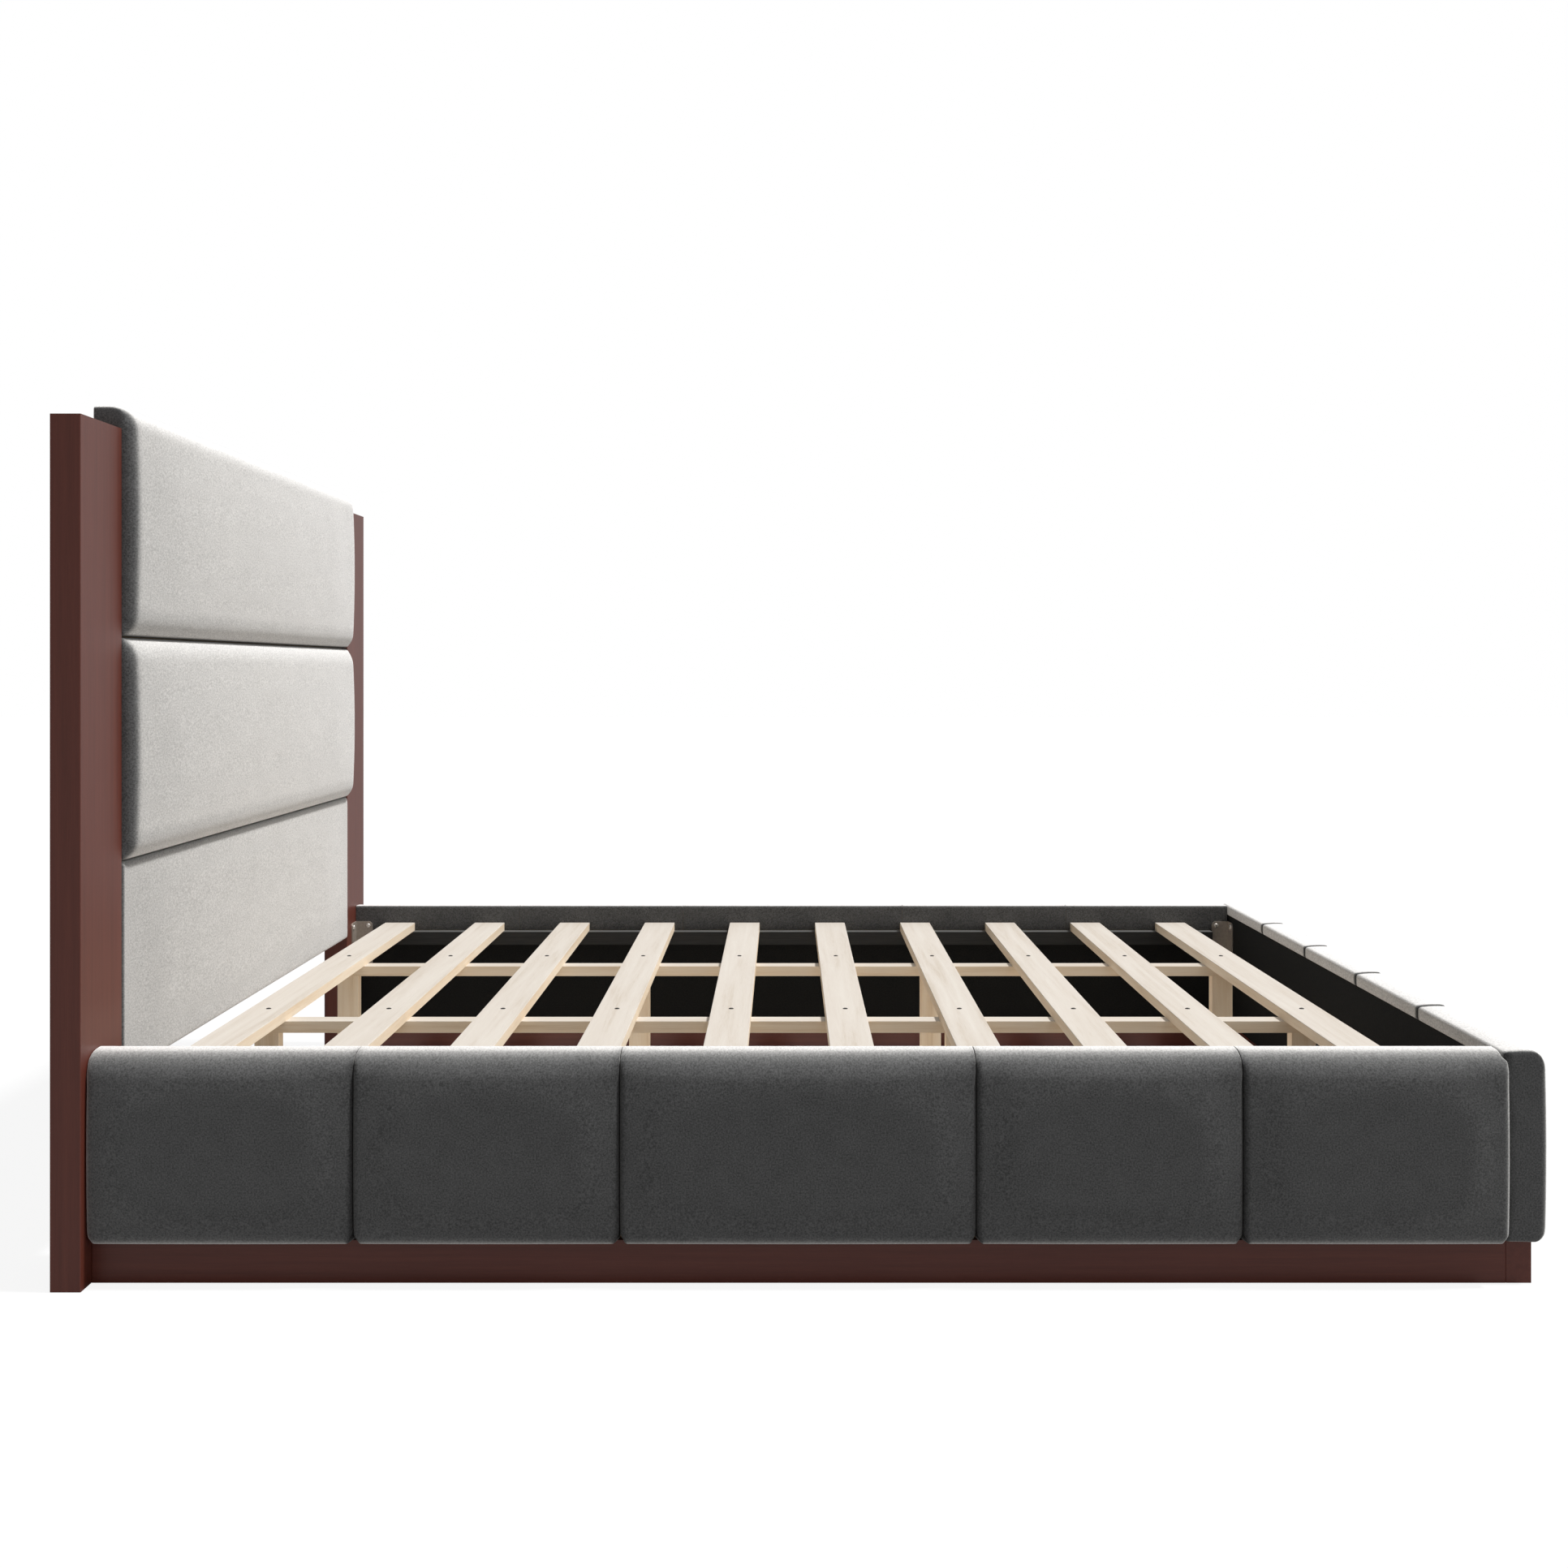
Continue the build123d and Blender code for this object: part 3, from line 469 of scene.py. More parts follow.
def stuffed_piece(name, to_world, outer, inner, length, places, stuffing, cap_rows, ends=None):
    """A closed form lofted along a piece: an outer skin, an inner side on the board, two ends."""
    ends = ends or {}
    first_board = ends.get("first", (0, []))[0]
    last_board = len(places) - 1 - ends.get("last", (0, []))[0]
    normals = outward(outer)
    mesh = bmesh.new()
    freedom = mesh.verts.layers.float.new("freedom")
    # Painted shade per point, read by the velvet as its painted-shade attribute.
    crease = mesh.verts.layers.float.new("crease")
    skin_rows, board_rows = [], []
    for place in places:
        slack = stuffing.slack(place, length)
        row = []
        for number, point in enumerate(outer):
            facing_out = max(0.0, -normals[number].x)
            inset = stuffing.inset(place, length, number, facing_out)
            spot = point - normals[number] * inset
            corner = stuffing.corners[number]
            if point.x > lap_depth:
                corner += stuffing.lap(place, length)
            along = place + stuffing.shift(place, length, corner)
            vertex = mesh.verts.new(to_world(along, spot.x, spot.y))
            vertex[freedom] = slack * stuffing.free[number]
            vertex[crease] = stuffing.crease(place, length, number)
            row.append(vertex)
        skin_rows.append(row)
    for number, place in enumerate(places):
        row = []
        if first_board <= number <= last_board:
            along = place + stuffing.shift(place, length, stuffing.lap(place, length))
            row = [mesh.verts.new(to_world(along, point.x, point.y)) for point in inner]
            for vertex in row:
                # The side on the board takes full painted shade.
                vertex[crease] = 1.0
            row[0] = skin_rows[number][0]
        board_rows.append(row)

    def quads(first, second):
        for number in range(len(first) - 1):
            mesh.faces.new((first[number], first[number + 1], second[number + 1], second[number]))

    for first, second in zip(skin_rows, skin_rows[1:]):
        quads(first, second)
    hollow = board_rows[first_board:last_board + 1]
    for first, second in zip(hollow, hollow[1:]):
        quads(first, second)
    open_edge = (outer[-1] - inner[-1]).length > MM
    if open_edge:
        for number in range(first_board, last_board):
            mesh.faces.new((
                skin_rows[number][-1], board_rows[number][-1],
                board_rows[number + 1][-1], skin_rows[number + 1][-1],
            ))
    for end, name_end, step in ((0, "first", 1), (len(places) - 1, "last", -1)):
        if name_end in ends:
            count, closing = ends[name_end]
            order = [end + step * number for number in range(count + 1)]
            close_end(mesh, skin_rows, board_rows, closing, to_world, places, order)
            continue
        rows = [skin_rows[end]]
        for number in range(1, cap_rows):
            share = number / cap_rows
            row = [
                mesh.verts.new(a.co.lerp(b.co, share))
                for a, b in zip(skin_rows[end], board_rows[end])
            ]
            row[0] = skin_rows[end][0]
            # A closed end takes full painted shade, a free end none.
            for vertex in row[1:]:
                vertex[crease] = 0.0 if stuffing.is_open(places[end], length) else 1.0
            rows.append(row)
        rows.append(board_rows[end])
        for first, second in zip(rows, rows[1:]):
            mesh.faces.new((first[0], first[1], second[1]))
            for number in range(1, len(first) - 1):
                mesh.faces.new(
                    (first[number], first[number + 1], second[number + 1], second[number])
                )
    bmesh.ops.remove_doubles(mesh, verts=mesh.verts, dist=weld_distance)
    bmesh.ops.dissolve_degenerate(mesh, edges=mesh.edges, dist=weld_distance)
    bmesh.ops.recalc_face_normals(mesh, faces=mesh.faces)
    for face in mesh.faces:
        face.smooth = True
    data = bpy.data.meshes.new(name)
    pinned = [vertex.index for vertex in mesh.verts if vertex[freedom] == 0]
    freedoms = [vertex[freedom] for vertex in mesh.verts]
    mesh.to_mesh(data)
    mesh.free()
    data.attributes.remove(data.attributes["freedom"])
    piece = bpy.data.objects.new(name, data)
    bpy.context.scene.collection.objects.link(piece)
    piece.vertex_groups.new(name="stapled").add(pinned, 1.0, "REPLACE")
    data.materials.append(velvet)
    return piece, freedoms


def evened(piece, moves, rounds):
    """Average the moves of neighbouring points, so the cover swells without creases."""
    edges = [tuple(side_codes.vertices) for side_codes in piece.data.edges]
    for _ in range(rounds):
        totals = [move.copy() for move in moves]
        counts = [1] * len(moves)
        for a, b in edges:
            totals[a] += moves[b]
            totals[b] += moves[a]
            counts[a] += 1
            counts[b] += 1
        moves = [total / count for total, count in zip(totals, counts)]
    return moves


def puff_up(pieces, freedoms, rooms, reach, frames, pressure):
    """Blow up stuffed pieces as cloth stapled at the back, and keep each within its room."""
    scene = bpy.context.scene
    scene.frame_start, scene.frame_end = 1, frames
    starts = [[vertex.co.copy() for vertex in piece.data.vertices] for piece in pieces]
    for piece in pieces:
        cover = piece.modifiers.new("cover", "CLOTH")
        cover.settings.quality = 5
        cover.settings.mass = 0.3
        cover.settings.tension_stiffness = 12
        cover.settings.compression_stiffness = 12
        cover.settings.shear_stiffness = 6
        cover.settings.bending_stiffness = 4
        cover.settings.air_damping = 4
        cover.settings.use_pressure = True
        cover.settings.uniform_pressure_force = pressure
        cover.settings.vertex_group_mass = "stapled"
        cover.settings.effector_weights.gravity = 0
        cover.collision_settings.use_collision = False
        cover.point_cache.frame_start, cover.point_cache.frame_end = 1, frames
    for number in range(1, frames + 1):
        scene.frame_set(number)
    graph = bpy.context.evaluated_depsgraph_get()
    for piece, freedom, start, (low, high) in zip(pieces, freedoms, starts, rooms):
        blown = [vertex.co.copy() for vertex in piece.evaluated_get(graph).data.vertices]
        piece.modifiers.remove(piece.modifiers["cover"])
        moves = [after - before for before, after in zip(start, blown)]
        moves = evened(piece, moves, evening_rounds)
        for vertex, share, before, move in zip(piece.data.vertices, freedom, start, moves):
            spot = before + move * share * reach / (reach + move.length)
            vertex.co = [min(max(spot[axis], low[axis]), high[axis]) for axis in range(3)]
    scene.frame_set(1)


def finish_soft(piece, node):
    """Seat a soft piece in the place of its solid."""
    rounder = piece.modifiers.new("rounder", "SUBSURF")
    rounder.levels = rounder.render_levels = 1
    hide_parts(node)
    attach(piece, "root")


cushion_proud = 22.7 * MM
cushion_round_height = 41 * MM
cushion_crown = 3 * MM
cushion_top_round = 38 * MM
roll_back_round = 6 * MM
roll_height = 46 * MM
roll_over_cell = 9 * MM
lower_roll_height = 33 * MM
cushion_end_round = 20 * MM
cushion_end_depth = 20 * MM
cushion_bow = 1 * MM
cushion_top_share = 0.3
bottom_cushion_turn = 6 * MM
bottom_cushion_roll = 15 * MM
cushion_slack_reach = 220 * MM
cushion_slack_share = 0.6
cushion_slack_rise = 60 * MM
cushion_slack_depth = 12 * MM
cushion_swell_room = Vector((4 * MM, 0, 2 * MM))
cushion_cell = 15 * MM
cushion_near_end = [0, 0.6 * MM, 1.8 * MM, 3.6 * MM, 6 * MM, 9 * MM, 14 * MM, 23 * MM]
cushion_back_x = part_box("headboard_face_board")[1].x
panel_back_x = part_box("headboard_back_cover")[0].x
edge_depth = cushion_crown
groove_depth = cushion_proud


def roll_turn(height):
    """Radius and angle of the arc that leads from a groove out to the face over a height."""
    run = groove_depth - edge_depth
    radius = (run ** 2 + height ** 2) / (2 * run)
    return radius, math.degrees(math.asin(height / radius))


def lower_roll(low, back):
    """From the board along the underside, then round and up to the cushion's face."""
    points = line_points((back, low), (groove_depth, low), cushion_cell)
    radius, angle = roll_turn(lower_roll_height)
    centre = (edge_depth + radius, low + lower_roll_height)
    return points + arc_points(centre, radius, 180 + angle, 180, 6), centre[1]


def crowned_face(low, high, spacing):
    """Up the face, which stands out a little in its middle."""
    points = line_points((edge_depth, low), (edge_depth, high), spacing)
    for point in points:
        share = 2 * (point.y - low) / (high - low) - 1
        point.x -= cushion_crown * (1 - share * share)
    return points


def headboard_place(front_x, start_y):
    """Turn (along, depth, height) of a cushion into a place on the bed."""
    return lambda along, depth, height: (front_x - depth, start_y + along, height)


def cushion_shares(outer, high):
    """The end draws in fully at the face, a little over the top, and not in the grooves."""
    shares = []
    for point in outer:
        share = min(1.0, max(0.0, (groove_depth - point.x) / groove_depth * 1.5))
        if point.y > high - cushion_top_round and high > cushion_tops:
            share = max(share, cushion_top_share)
        shares.append(share)
    return shares


cushion_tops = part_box("headboard_post_left")[1].z
# Painted shade: darker lower cushions, a painted shadow under the middle cushion, shaded rolls.
painted_shade_by_cushion = {"bottom": 0.08, "middle": 0.03, "top": 0.0}
painted_shadow_under_groove = 0.35
painted_shade_on_lower_roll = 0.1
cushions, cushion_rooms = [], []
for name in ("bottom", "middle", "top"):
    node = "headboard_cushion_" + name
    low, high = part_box(node)
    front_x = high.x
    back = front_x - cushion_back_x
    length = high.y - low.y
    if name == "bottom":
        turn = bottom_cushion_turn
        outer = line_points((back, low.z), (turn, low.z), cushion_cell)
        outer += arc_points((turn, low.z + turn), turn, 270, 180, 4)
        outer += line_points((0, low.z + turn), (0, high.z - bottom_cushion_roll), cushion_cell)
        for point in arc_points((0, 0), 1, 180, 90, 6):
            depth = turn * (1 + point.x)
            outer.append(Vector((depth, high.z - bottom_cushion_roll * (1 - point.y))))
        outer += line_points((turn, high.z), (back, high.z), cushion_cell)
        outer.append(Vector((back, high.z)))
        inner = along_inner(outer, (back, low.z), (back, high.z)) + [Vector((back, high.z))]
        end_round, end_depth = turn, turn
    else:
        outer, face_low = lower_roll(low.z, back)
        end_round, end_depth = cushion_end_round, cushion_end_depth
        if name == "middle":
            face_high = high.z - cushion_round_height
            outer += crowned_face(face_low, face_high, cushion_cell)
            radius, angle = roll_turn(cushion_round_height)
            outer += arc_points((edge_depth + radius, face_high), radius, 180, 180 - angle, 6)
            outer += line_points((groove_depth, high.z), (back, high.z), cushion_cell)
            outer.append(Vector((back, high.z)))
            inner = along_inner(outer, (back, low.z), (back, high.z)) + [Vector((back, high.z))]
        else:
            turn = cushion_top_round
            depth = front_x - panel_back_x
            face_high = high.z - turn
            outer += crowned_face(face_low, face_high, cushion_cell)
            outer += arc_points((edge_depth + turn, face_high), turn, 180, 90, 8)
            outer += line_points(
                (edge_depth + turn, high.z), (depth - roll_back_round, high.z), roll_over_cell
            )
            corner_count = len(outer)
            outer += arc_points(
                (depth - roll_back_round, high.z - roll_back_round), roll_back_round, 90, 0, 3
            )
            panel_top = high.z - roll_height
            outer += line_points(
                (depth, high.z - roll_back_round), (depth, panel_top), cushion_cell
            )
            outer.append(Vector((depth, panel_top)))
            first = along_inner(outer[:corner_count + 1], (back, low.z), (back, panel_top))
            second = along_inner(outer[corner_count:], (back, panel_top), (depth, panel_top))
            inner = first + second + [Vector((depth, panel_top))]
    shares = cushion_shares(outer, high.z)
    free, creases = [], []
    for point in outer:
        rise = min(point.y - low.z, high.z - point.y) / cushion_slack_rise
        lift = min(1.0, max(0.0, rise)) * max(0.0, 1 - point.x / cushion_slack_depth)
        free.append(cushion_slack_share * lift)
        # Painted shade: full in the grooves, elsewhere the cushion's and roll's listed shares.
        in_groove = point.x > groove_depth and point.y < cushion_tops
        shaded = painted_shade_by_cushion[name]
        if name == "bottom":
            shaded += painted_shadow_under_groove * max(0.0, 1 - (high.z - point.y) / bottom_cushion_roll)
        elif point.y < low.z + lower_roll_height:
            shaded += painted_shade_on_lower_roll
        creases.append(1.0 if in_groove else shaded)
    stuffing = Stuffing(
        end_round, end_depth, (cushion_bow, cushion_bow), shares, [0] * len(outer), free, creases,
        (True, True), cushion_slack_reach,
    )
    places = stations_between(length, cushion_cell, cushion_near_end)
    piece, freedom = stuffed_piece(
        node + "_cover", headboard_place(front_x, low.y), outer, inner, length, places, stuffing, 4
    )
    cushions.append((piece, node, freedom))
    cushion_rooms.append((low, high + cushion_swell_room))


# Rail pads: foam blocks wrapped in the same velvet over the rail's board, five to a rail. Each is
# stuffed full, so its face bows out and its ends turn in sharply where it meets the next one.

side_rail = {
    "foam": 40 * MM, "flap_bottom": 280.9 * MM, "top_rise": 35 * MM, "top_run": 46 * MM,
    "bottom_round": 15 * MM, "top_swell": 0.0, "face_out": 0.0, "bow_out": 3 * MM,
    "top_share": 0.15, "flap_share": 0.0, "end_bow": 4.5 * MM,
}
foot_rail = {
    "foam": 37 * MM, "flap_bottom": 316.0 * MM, "top_rise": 27 * MM, "top_run": 20 * MM,
    "bottom_round": 16 * MM, "top_swell": 2.5 * MM, "face_out": 3 * MM, "bow_out": 1.5 * MM,
    "top_share": 0.4, "flap_share": 0.4, "end_bow": 10 * MM,
}
rail_sizes = {"left": side_rail, "right": side_rail, "foot": foot_rail}
side_pad_lap = 5.7 * MM
board_thickness = 22 * MM
flap_thickness = 4 * MM
cap_thickness = 10 * MM
board_play = 0.3 * MM
pad_crown = 1.2 * MM
pad_inner_round = 5 * MM
pad_end_round = 9 * MM
pad_end_depth = 8 * MM
closed_end_bow = 0.1
pad_arch_steps = 10
arch_share = 0.9
arch_share_step = 0.1
pad_slack_reach = 70 * MM
pad_slack_rise = 55 * MM
pad_swell_out = 4 * MM
pad_swell_down = 3 * MM
pad_swell_up = 4 * MM
# Painted shade on the outer foot pads' closed ends: full near the side pad, partial further on.
joint_shade_full = 6 * MM
joint_shade = 13 * MM
joint_shade_share = 0.45
top_corner = 5 * MM
bottom_corner = 10 * MM
bottom_corner_start = 2 * MM
bottom_corner_height = 15 * MM
end_sag = 0.05
bottom_sag = 2 * MM
sag_reach = 24 * MM
flap_join = 0.3 * MM
pad_cell = 13 * MM
end_wrap = 6 * MM
pad_near_end = [0, 0.7 * MM, 2 * MM, 4 * MM, 6 * MM, 9 * MM, 13 * MM, 20 * MM]


def rail_place(rail, low, high, middle_high):
    """Turn (along, depth, height) of a rail's pad into a place on the bed."""
    if rail == "left":
        return lambda along, depth, height: (low.x + along, low.y + depth, height)
    if rail == "right":
        return lambda along, depth, height: (low.x + along, high.y - depth, height)
    return lambda along, depth, height: (middle_high.x - depth, low.y + along, height)


pads, pad_rooms = [], []
for rail, sizes in rail_sizes.items():
    for number in range(1, 6):
        node = rail + "_rail_pad_" + str(number)
        low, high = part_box(node)
        foam = sizes["foam"]
        depth = foam + board_thickness + flap_thickness
        middle_low, middle_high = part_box(rail + "_rail_pad_3")
        bottom, top = middle_low.z, middle_high.z + pad_crown
        ceiling = middle_high.z - cap_thickness + board_play
        pad_top_rise, pad_top_run = sizes["top_rise"], sizes["top_run"]
        pad_bottom_round = sizes["bottom_round"]
        flap_back = foam + board_thickness + board_play
        flap_bottom = sizes["flap_bottom"]
        lower = line_points((foam, bottom), (pad_bottom_round, bottom), pad_cell)
        round_centre = (pad_bottom_round, bottom + pad_bottom_round)
        lower += arc_points(round_centre, pad_bottom_round, 270, 180, 4)
        for point in lower:
            hung = max(0.0, 1 - (point.y - bottom) / pad_bottom_round)
            loose = (sag_reach - point.x) / (sag_reach - pad_bottom_round)
            point.y -= bottom_sag * hung * min(1.0, max(0.0, loose))
        face_low, face_high = bottom + pad_bottom_round, top - pad_top_rise
        face = line_points((0, face_low), (0, face_high), pad_cell)
        for point in face:
            share = 2 * (point.y - face_low) / (face_high - face_low) - 1
            point.x -= sizes["bow_out"] * (1 - share * share)
        arch = arc_points((0, 0), 1, 180, 90, pad_arch_steps)
        arch = [
            Vector((pad_top_run * (1 + point.x), face_high + pad_top_rise * point.y))
            for point in arch
        ]
        upper, over = arch[:pad_arch_steps // 2], arch[pad_arch_steps // 2:]
        over += line_points((pad_top_run, top), (depth - pad_inner_round, top), pad_cell)
        inner_centre = (depth - pad_inner_round, top - pad_inner_round)
        over += arc_points(inner_centre, pad_inner_round, 90, 45, 2)
        for point in upper + over:
            across = 2 * point.x / depth - 1
            point.y += sizes["top_swell"] * max(0.0, 1 - across * across)
        for point in lower + face + upper + over:
            point.x -= sizes["face_out"] * max(0.0, 1 - max(0.0, point.x) / foam)
        flap = arc_points(inner_centre, pad_inner_round, 45, 0, 2)
        flap += line_points((depth, top - pad_inner_round), (depth, flap_bottom), pad_cell)
        flap.append(Vector((depth, flap_bottom)))
        outer = lower + face + upper + over + flap
        first = along_inner(lower + face + upper + over[:1], (foam, bottom), (foam, ceiling))
        second = along_inner(over + flap[:1], (foam, ceiling), (flap_back, ceiling))
        third = along_inner(flap, (flap_back, ceiling), (flap_back, flap_bottom))
        inner = first + second + third + [Vector((flap_back, flap_bottom))]
        top_share, flap_share = sizes["top_share"], sizes["flap_share"]
        shares = [0.5 * (1 - point.x / foam) for point in lower]
        shares += [1.0] * len(face)
        shares += [arch_share - arch_share_step * step for step in range(len(upper))]
        shares += [
            top_share + (flap_share - top_share) * point.x / depth for point in over
        ] + [flap_share] * len(flap)
        ends = {}
        if rail == "foot" and number in (1, 5):
            turned = [max(0.0, 1 - max(0.0, point.x) / pad_bottom_round) for point in lower]
            shares = [(1 + end_sag) * share - end_sag for share in turned] + shares[len(lower):]
            closing = line_points((foam, bottom), (depth, bottom), pad_cell)[1:]
            closing += line_points((depth, bottom), (depth, flap_bottom), pad_cell)
            wrapped = pad_near_end.index(end_wrap)
            ends = {("first" if number == 1 else "last"): (wrapped, closing)}
        corners, free = [], []
        for point in outer:
            drop = max(0.0, 1 - max(0.0, top - point.y) / top_corner)
            above = max(0.0, point.y - bottom - bottom_corner_start)
            rise = max(0.0, 1 - above / bottom_corner_height)
            corner = top_corner * (1 - math.sqrt(1 - drop * drop))
            corner += bottom_corner * (1 - math.sqrt(1 - rise * rise))
            corner *= max(0.0, 1 - point.x / foam)
            if point.x > flap_back:
                corner -= flap_join
            corners.append(0.0 if ends else corner)
            lift = min(1.0, (point.y - bottom) / pad_slack_rise)
            free.append(max(0.0, lift) * max(0.0, 1 - (point.x / depth) ** 2))
        along = 1 if rail == "foot" else 0
        length = high[along] - low[along]
        bow = sizes["end_bow"]
        open_ends = (number == 1, number == 5)
        bows = [
            closed_end_bow * bow if rail == "foot" and is_open else bow for is_open in open_ends
        ]
        laps = (0.0, side_pad_lap if rail != "foot" and number == 5 else 0.0)
        stuffing = Stuffing(
            pad_end_round, pad_end_depth, bows, shares, corners, free, [0.0] * len(outer),
            open_ends, pad_slack_reach, laps,
        )
        places = stations_between(length, pad_cell, pad_near_end)
        to_world = rail_place(rail, low, high, middle_high)
        piece, freedom = stuffed_piece(
            node + "_cover", to_world, outer, inner, length, places, stuffing, 4, ends
        )
        # Painted shade: a dark band on the closed end, beside the side rail's last pad.
        if ends:
            joint_painted_shade = piece.data.attributes["crease"].data
            end_y = max(abs(low.y), abs(high.y)) - 1 * MM
            for vertex in piece.data.vertices:
                reach = vertex.co.x - low.x
                if reach < joint_shade and abs(vertex.co.y) > end_y:
                    joint_painted_shade[vertex.index].value = 1.0 if reach < joint_shade_full else joint_shade_share
        pads.append((piece, node, freedom))
        room_low, room_high = low.copy(), high.copy()
        if rail == "left":
            room_low.y -= pad_swell_out
        elif rail == "right":
            room_high.y += pad_swell_out
        else:
            room_high.x += pad_swell_out
        room_low.z -= pad_swell_down
        room_high.z += pad_swell_up
        pad_rooms.append((room_low, room_high))

swell_limit = 8 * MM
swell_frames = 16
swell_pressure = 4.0
soft = [piece for piece, node, freedom in cushions + pads]
freedoms = [freedom for piece, node, freedom in cushions + pads]
rooms = cushion_rooms + pad_rooms
puff_up(soft, freedoms, rooms, swell_limit, swell_frames, swell_pressure)
for piece, node, freedom in cushions:
    finish_soft(piece, node)
for piece, node, freedom in pads:
    finish_soft(piece, node)


# Rail boards and plinths: a plywood board stiffens each rail inside its pads. It stands on a plinth
# board of the same stained hardwood as the posts, set back under the pads.

rail_plywood_x = pale_wood("birch_plywood_x", "X", birch, birch, 22)
dress(rail_plywood_x, "left_rail_board", "right_rail_board")
dress(face_plywood, "foot_rail_board")
lengthwise_hardwood = stained_hardwood("X")
crosswise_hardwood = stained_hardwood("Y")
dress(lengthwise_hardwood, "left_plinth_board", "right_plinth_board")
dress(crosswise_hardwood, "foot_plinth_board")


# Slat ledges: square battens along the side rails, stained black so that they vanish in the lining.
# Their tops are painted a lighter grey than their sides, painted light from above.

saw_mark = (2, 60)

black_batten, tree, place = new_finish("black_stained_batten")
saw_place = add_node(
    tree, "ShaderNodeMapping", {"Vector": place, "Scale": pattern_scale(*saw_mark, "X")},
).outputs["Vector"]
saw_marks = add_node(
    tree, "ShaderNodeTexNoise",
    {"Vector": saw_place, "Scale": 1, "Detail": 3, "Roughness": 0.6},
).outputs["Fac"]
side_black = add_node(
    tree, "ShaderNodeValToRGB", {"Fac": saw_marks}, steps=[(0.35, "#101010"), (0.65, "#1e1e1d")],
).outputs["Color"]
# Painted light: the tops' lighter grey.
top_painted_light = add_node(
    tree, "ShaderNodeValToRGB", {"Fac": saw_marks}, steps=[(0.35, "#4a4a49"), (0.65, "#666664")],
).outputs["Color"]
direction = add_node(tree, "ShaderNodeNewGeometry").outputs["Normal"]
upward = add_node(tree, "ShaderNodeSeparateXYZ", {"Vector": direction}).outputs["Z"]
colour = add_node(
    tree, "ShaderNodeMix", {"Factor": upward, 6: side_black, 7: top_painted_light}, data_type="RGBA",
).outputs[2]
relief = add_node(
    tree, "ShaderNodeBump", {"Height": saw_marks, "Strength": 0.4, "Distance": 0.15 * MM},
).outputs["Normal"]
surface = add_node(
    tree, "ShaderNodeBsdfPrincipled",
    {"Base Color": colour, "Roughness": 0.6, "IOR": 1.45, "Normal": relief},
)
add_node(tree, "ShaderNodeOutputMaterial", {"Surface": surface.outputs["BSDF"]})
dress(black_batten, "left_rail_cleat", "right_rail_cleat")


# Corner brackets and bolts: pressed steel angles, zinc plated, with dome-headed bolts. The plating
# is dull and faintly cloudy, and catches the light along its bent and cut edges.

metal_share = 0.6
plating_cloud = 6 * MM
gloss_play = (0.06, 0.08)


def plated_steel(name, dull, bright, roughness):
    """Steel under a thin cloudy plating, chalky enough to scatter part of the light."""
    finish, tree, place = new_finish(name)
    clouds = add_node(
        tree, "ShaderNodeTexNoise",
        {"Vector": place, "Scale": 1 / plating_cloud, "Detail": 4, "Roughness": 0.65},
    ).outputs["Fac"]
    colour = add_node(
        tree, "ShaderNodeValToRGB", {"Fac": clouds}, steps=[(0.35, dull), (0.65, bright)],
    ).outputs["Color"]
    sheen = add_node(
        tree, "ShaderNodeMapRange",
        {
            "Value": clouds, "From Min": 0.3, "From Max": 0.7,
            "To Min": roughness - gloss_play[0], "To Max": roughness + gloss_play[1],
        },
    ).outputs["Result"]
    surface = add_node(
        tree, "ShaderNodeBsdfPrincipled",
        {"Base Color": colour, "Metallic": metal_share, "Roughness": sheen},
    )
    add_node(tree, "ShaderNodeOutputMaterial", {"Surface": surface.outputs["BSDF"]})
    return finish


zinc_plate = plated_steel("zinc_plated_steel", "#a0978e", "#b3a99f", 0.5)
bolt_plate = plated_steel("bright_zinc_bolt", "#c9c4bd", "#dcd7d0", 0.25)
screw_steel = plated_steel("dark_phosphated_screw", "#26231f", "#38342f", 0.32)
for corner in ("head_left", "head_right", "foot_left", "foot_right"):
    dress(zinc_plate, "corner_bracket_" + corner)
dress(bolt_plate, "bracket_bolts")
dress(screw_steel, "leg_screws", "plinth_screws")


# Beams and legs: planed poplar, left raw. Two beams lie flat under the slats, and each stands on
# four short legs that are screwed up to it.

poplar_face = ("#b8a996", "#c8beb1", "#d0c8bc")
# Painted light: poplar's sides and undersides are lighter and yellower than its tops.
poplar_sides_painted_light = ("#dac2a2", "#ead6bb", "#f3e4ce")
poplar_x = pale_wood("planed_poplar_x", "X", poplar_face, poplar_sides_painted_light, 12)
poplar_z = pale_wood("planed_poplar_z", "Z", poplar_face, poplar_sides_painted_light, 12)
dress(poplar_x, "left_beam", "right_beam")
dress(poplar_z, "left_beam_legs", "right_beam_legs")


# Slats: ten planed poplar boards laid across the beams and ledges, each held by two countersunk
# screws. The long edges are eased and catch light as thin bright lines, with painted light too.

slat_count = 10
slat_face = ("#bcb0a0", "#cac1b6", "#d1cac0")
poplar_y = pale_wood("planed_poplar_y", "Y", slat_face, poplar_sides_painted_light, 16)
slat_names = ["slat_" + str(number).zfill(2) for number in range(1, slat_count + 1)]
dress(poplar_y, *slat_names)


# Slat screws: raised countersunk wood screws with a dark phosphate coat, one through each slat
# into each beam. A low dome with a pressed cross recess stands over each hole and takes the light.

screw_head_radius = 4.4 * MM
screw_dome = 1.4 * MM
screw_rim = 0.25 * MM
screw_neck_radius = 3.3 * MM
screw_cone = 2.2 * MM
screw_shank_radius = 1.9 * MM
screw_dome_steps = 6
cross_width = 1.3 * MM
cross_length = 5.0 * MM
cross_depth = 1.8 * MM
cross_narrow = 0.35
screw_tip = 0.5 * MM
screw_sides = 32
slat_turn = 37
beam_turn = 61

